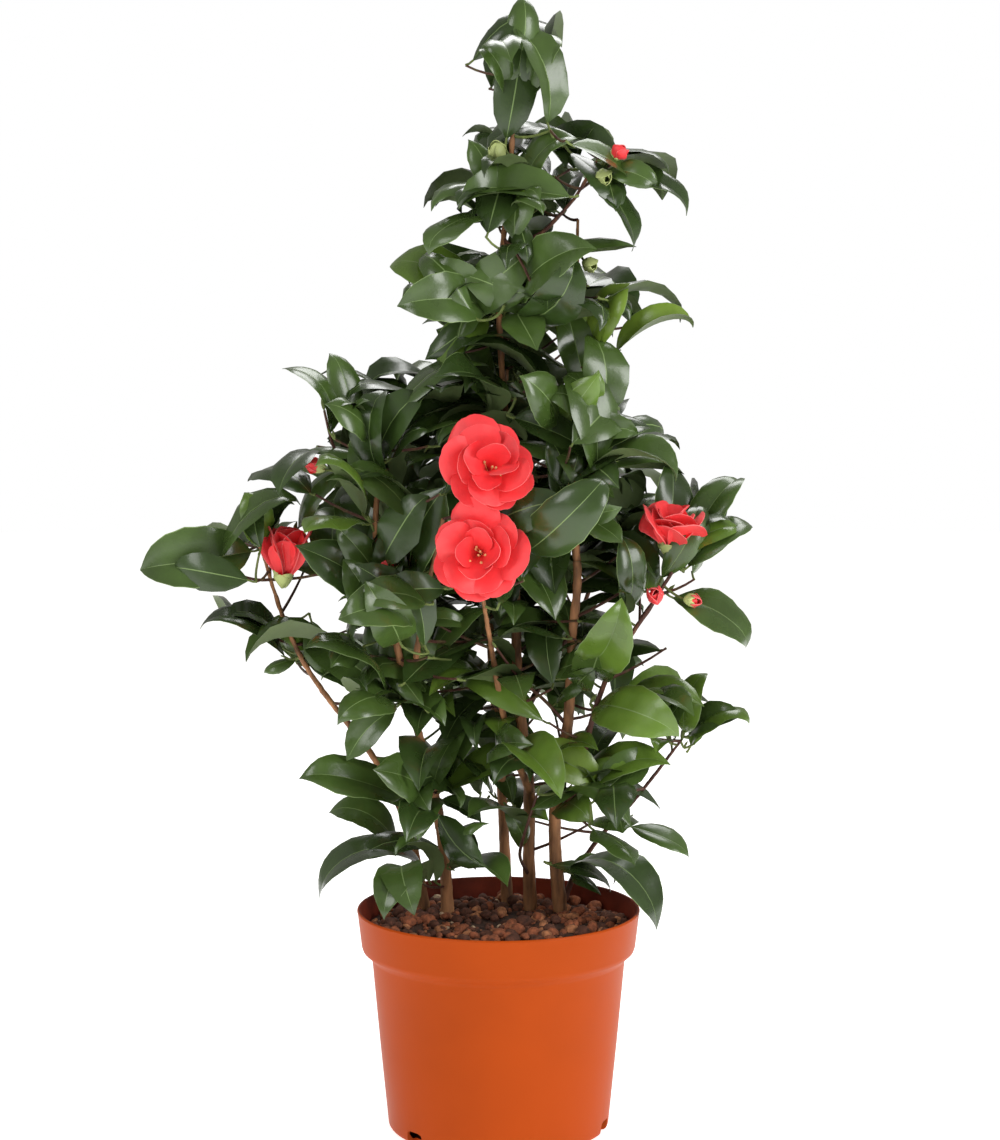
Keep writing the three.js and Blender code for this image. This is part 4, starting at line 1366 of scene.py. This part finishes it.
class OBJECT_OT_camellia_blooms(bpy.types.Operator):
    """Open the blooms petal by petal, with calyx and stamens, and set the buds"""

    bl_idname = "object.camellia_blooms"
    bl_label = "Blooms and buds"

    def execute(self, context):
        settings, wood = context.scene.camellia_bloom, context.scene.camellia_wood
        self.rng = np.random.default_rng(BLOOM_SEED)
        self.thick = settings.petal_thickness
        self.petals, self.scales, self.threads, self.stalks = Batch(), Batch(), Batch(), Batch()
        for name, (opens, spread, whorls, girth) in BLOOMS.items():
            self.bloom(name, unit(opens), spread, whorls, girth)
        for limb, share, reach, size, red in BUDS:
            self.bud(LIMBS.at(limb, share), np.array(reach), size, red, wood.stalk_radius)
        petal, heart = tuple(settings.petal), tuple(settings.petal_heart)
        blossom = self.petals.build("petals", [
            self.petal_material("petal_outer", petal),
            # Slot 1 is the petals' rim: painted light showing through the thin edge.
            self.petal_material("petal_rim_glow", tuple(settings.petal_rim_glow)),
            self.petal_material("petal_inner", blend_colours(petal, heart, 0.55)),
        ], 70)
        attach(blossom, "root")
        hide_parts(*BLOOMS)
        calyx, stamen, shoot = tuple(settings.calyx), tuple(settings.stamen), tuple(wood.shoot_colour)
        for batch, name, slot, materials in (
                (self.scales, "calyx_scales", "young_foliage", [
                    leaf_material("calyx_green", calyx, 0.5, 0.0),
                    leaf_material("calyx_edge", shade(calyx, 1.3), 0.5, 0.0)]),
                (self.threads, "stamens", "bloom", [
                    leaf_material("filament", stamen, 0.5, 0.0),
                    leaf_material("anther", shade(stamen, 0.8), 0.7, 0.0)]),
                (self.stalks, "bud_stalks", "young_foliage", [
                    bark_material("bud_stalk", shoot, shade(shoot, 0.7), shade(shoot, 1.3))])):
            piece = batch.build(name, materials, 70)
            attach(piece, "root")
        return {"FINISHED"}

    def petal_material(self, name, colour):
        material = new_material(name, colour, 0.5, Sheen_Weight=0.15, Sheen_Roughness=0.4)
        field = noise_field(material, 60, 4)
        pale = blend_colours(colour, (1, 0.25, 0.22), 0.12)
        vary_colour(material, field, (shade(colour, 0.86), colour, pale))
        add_bump(material, noise_field(material, 260, 3), 0.3, 0.0008)
        return material

    def whorl(self, batch, count, turn, root, face, length, broad, lean, spread, cup, kind,
              tilt=0.0, wild=0.04):
        """A ring of petals or scales round the way a bloom or bud faces."""
        rng = self.rng
        side, other = across_of(face)
        rows = 8 if length > 0.02 else 5
        faces, kinds = petal_faces(rows, rows)
        for index in range(count):
            angle = turn + 2 * math.pi * (index + 0.14 * rng.normal()) / count
            radial = unit(math.cos(angle) * side + math.sin(angle) * other)
            size = length * rng.uniform(0.84, 1.08)
            start = root + face * 0.0012 * (index % 2) + radial * 0.0015
            width = size * broad * rng.uniform(0.92, 1.05)
            open_by = spread + rng.normal() * wild
            lift = tilt + rng.normal() * wild
            points = petal_points(rng, rows, rows, start, face, radial, size, width, lean, open_by, cup,
                                  lift, self.thick)
            # Rim faces take slot 1: on petals the pale rim of painted light through the thin edge, on scales
            # the paler calyx edge.
            batch.add(points, faces, np.where(kinds == 1, 1, kind))

    def bloom(self, name, face, spread, whorls, girth):
        low, high = (np.array(c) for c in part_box(name))
        centre, size = (low + high) / 2, high - low
        depth = float(abs(size @ np.abs(face)))
        reach = girth * float(size.max())
        root = centre - face * depth * 0.32
        turn = self.rng.random() * 6
        for layer, count in enumerate(whorls):
            inner = layer / max(len(whorls) - 1, 1)
            self.whorl(self.petals, count, turn, root + face * 0.12 * depth * layer, face,
                       reach * (1.00 - 0.36 * inner), 0.78 + 0.06 * inner, 0.30 * spread,
                       (1.46 - 0.62 * inner) * spread, -0.16 + 0.50 * inner**2, 2 if inner == 1 else 0,
                       0.26, 0.10 + 0.14 * inner)
            turn += math.pi / count + 0.3
        self.whorl(self.scales, 6, 0.4, root - face * 0.006, face, 0.017, 0.9, 0.9, 0.25, 0.42, 0)
        if spread > 0.6:
            self.stamens(root + face * depth * 0.14 + np.array((0.003, 0, -0.004)), face)

    def bud(self, foot, reach, size, red, radius):
        """A bud on its stalk: green scales closed round petals that show as it swells."""
        root, face = foot + reach, unit(reach + np.array((0, 0, 0.4 * np.linalg.norm(reach))))
        add_tube(self.stalks, arc_line(foot, root, (0, 0, -0.06 * np.linalg.norm(reach)), 6),
                 np.linspace(radius * 1.2, radius, 6), 0, 6)
        scales = size * (1.0 - 0.42 * red)
        self.whorl(self.scales, 6, 0.2, root, face, scales, 0.85, 1.25, -0.62 + 0.35 * red, 0.45, 0)
        if red > 0:
            close = -0.62 if red <= 1 else 0.12
            self.whorl(self.petals, 5, 0.9, root + face * size * 0.08, face, size * 1.05, 0.85, 1.0,
                       close, 0.5, 0)

    def stamens(self, root, face):
        rng = self.rng
        side, other = across_of(face)
        for _ in range(14):
            angle = rng.random() * 2 * math.pi
            out = math.cos(angle) * side + math.sin(angle) * other
            end = root + face * rng.uniform(0.013, 0.020) + out * rng.uniform(0.002, 0.010)
            add_tube(self.threads, arc_line(root, end, out * 0.001, 4), 0.00045, 0, 4)
            add_tube(self.threads, [end, end + face * 0.0018 + out * 0.0006], 0.0010, 1, 5)


# ---------------------------------------------------------------- stage


class OBJECT_OT_camellia_stage(bpy.types.Operator):
    """Set the camera, soft studio lights and a pale floor"""

    bl_idname = "object.camellia_stage"
    bl_label = "Stage"

    def execute(self, context):
        settings = context.scene.camellia_stage
        scene = context.scene
        data = bpy.data.cameras.new("camera")
        data.lens = settings.lens
        data.sensor_fit = "AUTO"
        data.sensor_width = 36
        camera = bpy.data.objects.new("camera", data)
        camera.location = (0.0013, -settings.camera_distance, settings.camera_height)
        camera.rotation_euler = (math.pi / 2 - settings.camera_pitch, 0, 0)
        scene.collection.objects.link(camera)
        scene.camera = camera
        deselect_all()
        bpy.ops.mesh.primitive_circle_add(vertices=96, radius=6, fill_type="NGON", location=(0, 0, -0.0006))
        floor = context.object
        floor.name = "floor"
        floor_material = new_material("pale_floor", (0.92, 0.92, 0.92), 0.7)
        shader = shader_of(floor_material)
        shader.inputs["Emission Color"].default_value = (1, 1, 1, 1)
        shader.inputs["Emission Strength"].default_value = 0.75
        floor.data.materials.append(floor_material)
        for name, place, size, power, aim in (
                ("key", (-1.7, -1.9, 1.75), (1.1, 1.6), settings.key, (0, 0, 0.55)),
                ("fill", (1.9, -1.3, 1.25), (0.9, 1.5), settings.fill, (0, 0, 0.5)),
                ("rim", (0.3, 1.3, 2.3), (1.6, 0.9), settings.rim, (0, 0, 0.6))):
            lamp = bpy.data.lights.new(name, "AREA")
            lamp.shape = "RECTANGLE"
            lamp.size, lamp.size_y = size
            lamp.energy = power
            lamp_object = bpy.data.objects.new(name, lamp)
            lamp_object.location = place
            way = Vector(aim) - Vector(place)
            lamp_object.rotation_euler = way.to_track_quat("-Z", "Y").to_euler()
            scene.collection.objects.link(lamp_object)
        world = bpy.data.worlds.new("studio")
        scene.world = world
        world.use_nodes = True
        nodes, links = world.node_tree.nodes, world.node_tree.links
        light = nodes["Background"]
        light.inputs["Color"].default_value = (1.0, 0.97, 0.93, 1)
        light.inputs["Strength"].default_value = settings.ambient
        backdrop = nodes.new("ShaderNodeBackground")
        backdrop.inputs["Color"].default_value = (1, 1, 1, 1)
        path = nodes.new("ShaderNodeLightPath")
        mix = nodes.new("ShaderNodeMixShader")
        links.new(path.outputs["Is Camera Ray"], mix.inputs["Fac"])
        links.new(light.outputs["Background"], mix.inputs[1])
        links.new(backdrop.outputs["Background"], mix.inputs[2])
        links.new(mix.outputs["Shader"], nodes["World Output"].inputs["Surface"])
        scene.view_settings.view_transform = "Standard"
        scene.view_settings.look = "None"
        return {"FINISHED"}


class VIEW3D_PT_camellia(bpy.types.Panel):
    """Lists the steps that build the camellia"""

    bl_idname = "VIEW3D_PT_camellia"
    bl_label = "Camellia"
    bl_space_type = "VIEW_3D"
    bl_region_type = "UI"
    bl_category = "Camellia"

    def draw(self, context):
        for operator in OPERATORS:
            self.layout.operator(operator.bl_idname)
        for name, group in SETTINGS.items():
            box = self.layout.box()
            box.label(text=group.__doc__)
            for key in group.__annotations__:
                box.prop(getattr(context.scene, name), key)


OPERATORS = (
    OBJECT_OT_camellia_stage,
    OBJECT_OT_camellia_pot,
    OBJECT_OT_camellia_compost,
    OBJECT_OT_camellia_limbs,
    OBJECT_OT_camellia_foliage,
    OBJECT_OT_camellia_blooms,
)
SETTINGS = {
    "camellia_pot": CamelliaPotSettings,
    "camellia_wood": CamelliaWoodSettings,
    "camellia_leaf": CamelliaLeafSettings,
    "camellia_bloom": CamelliaBloomSettings,
    "camellia_stage": CamelliaStageSettings,
}


def register():
    for group in (*SETTINGS.values(), *OPERATORS, VIEW3D_PT_camellia):
        bpy.utils.register_class(group)
    for name, group in SETTINGS.items():
        setattr(bpy.types.Scene, name, bpy.props.PointerProperty(type=group))


def unregister():
    for name in SETTINGS:
        delattr(bpy.types.Scene, name)
    for group in (VIEW3D_PT_camellia, *OPERATORS, *reversed(SETTINGS.values())):
        bpy.utils.unregister_class(group)


def main():
    register()
    bpy.ops.object.camellia_stage()
    bpy.ops.object.camellia_pot()
    bpy.ops.object.camellia_compost()
    bpy.ops.object.camellia_limbs()
    bpy.ops.object.camellia_foliage()
    bpy.ops.object.camellia_blooms()


LIMBS = Limbs()

if __name__ == "__main__":
    main()
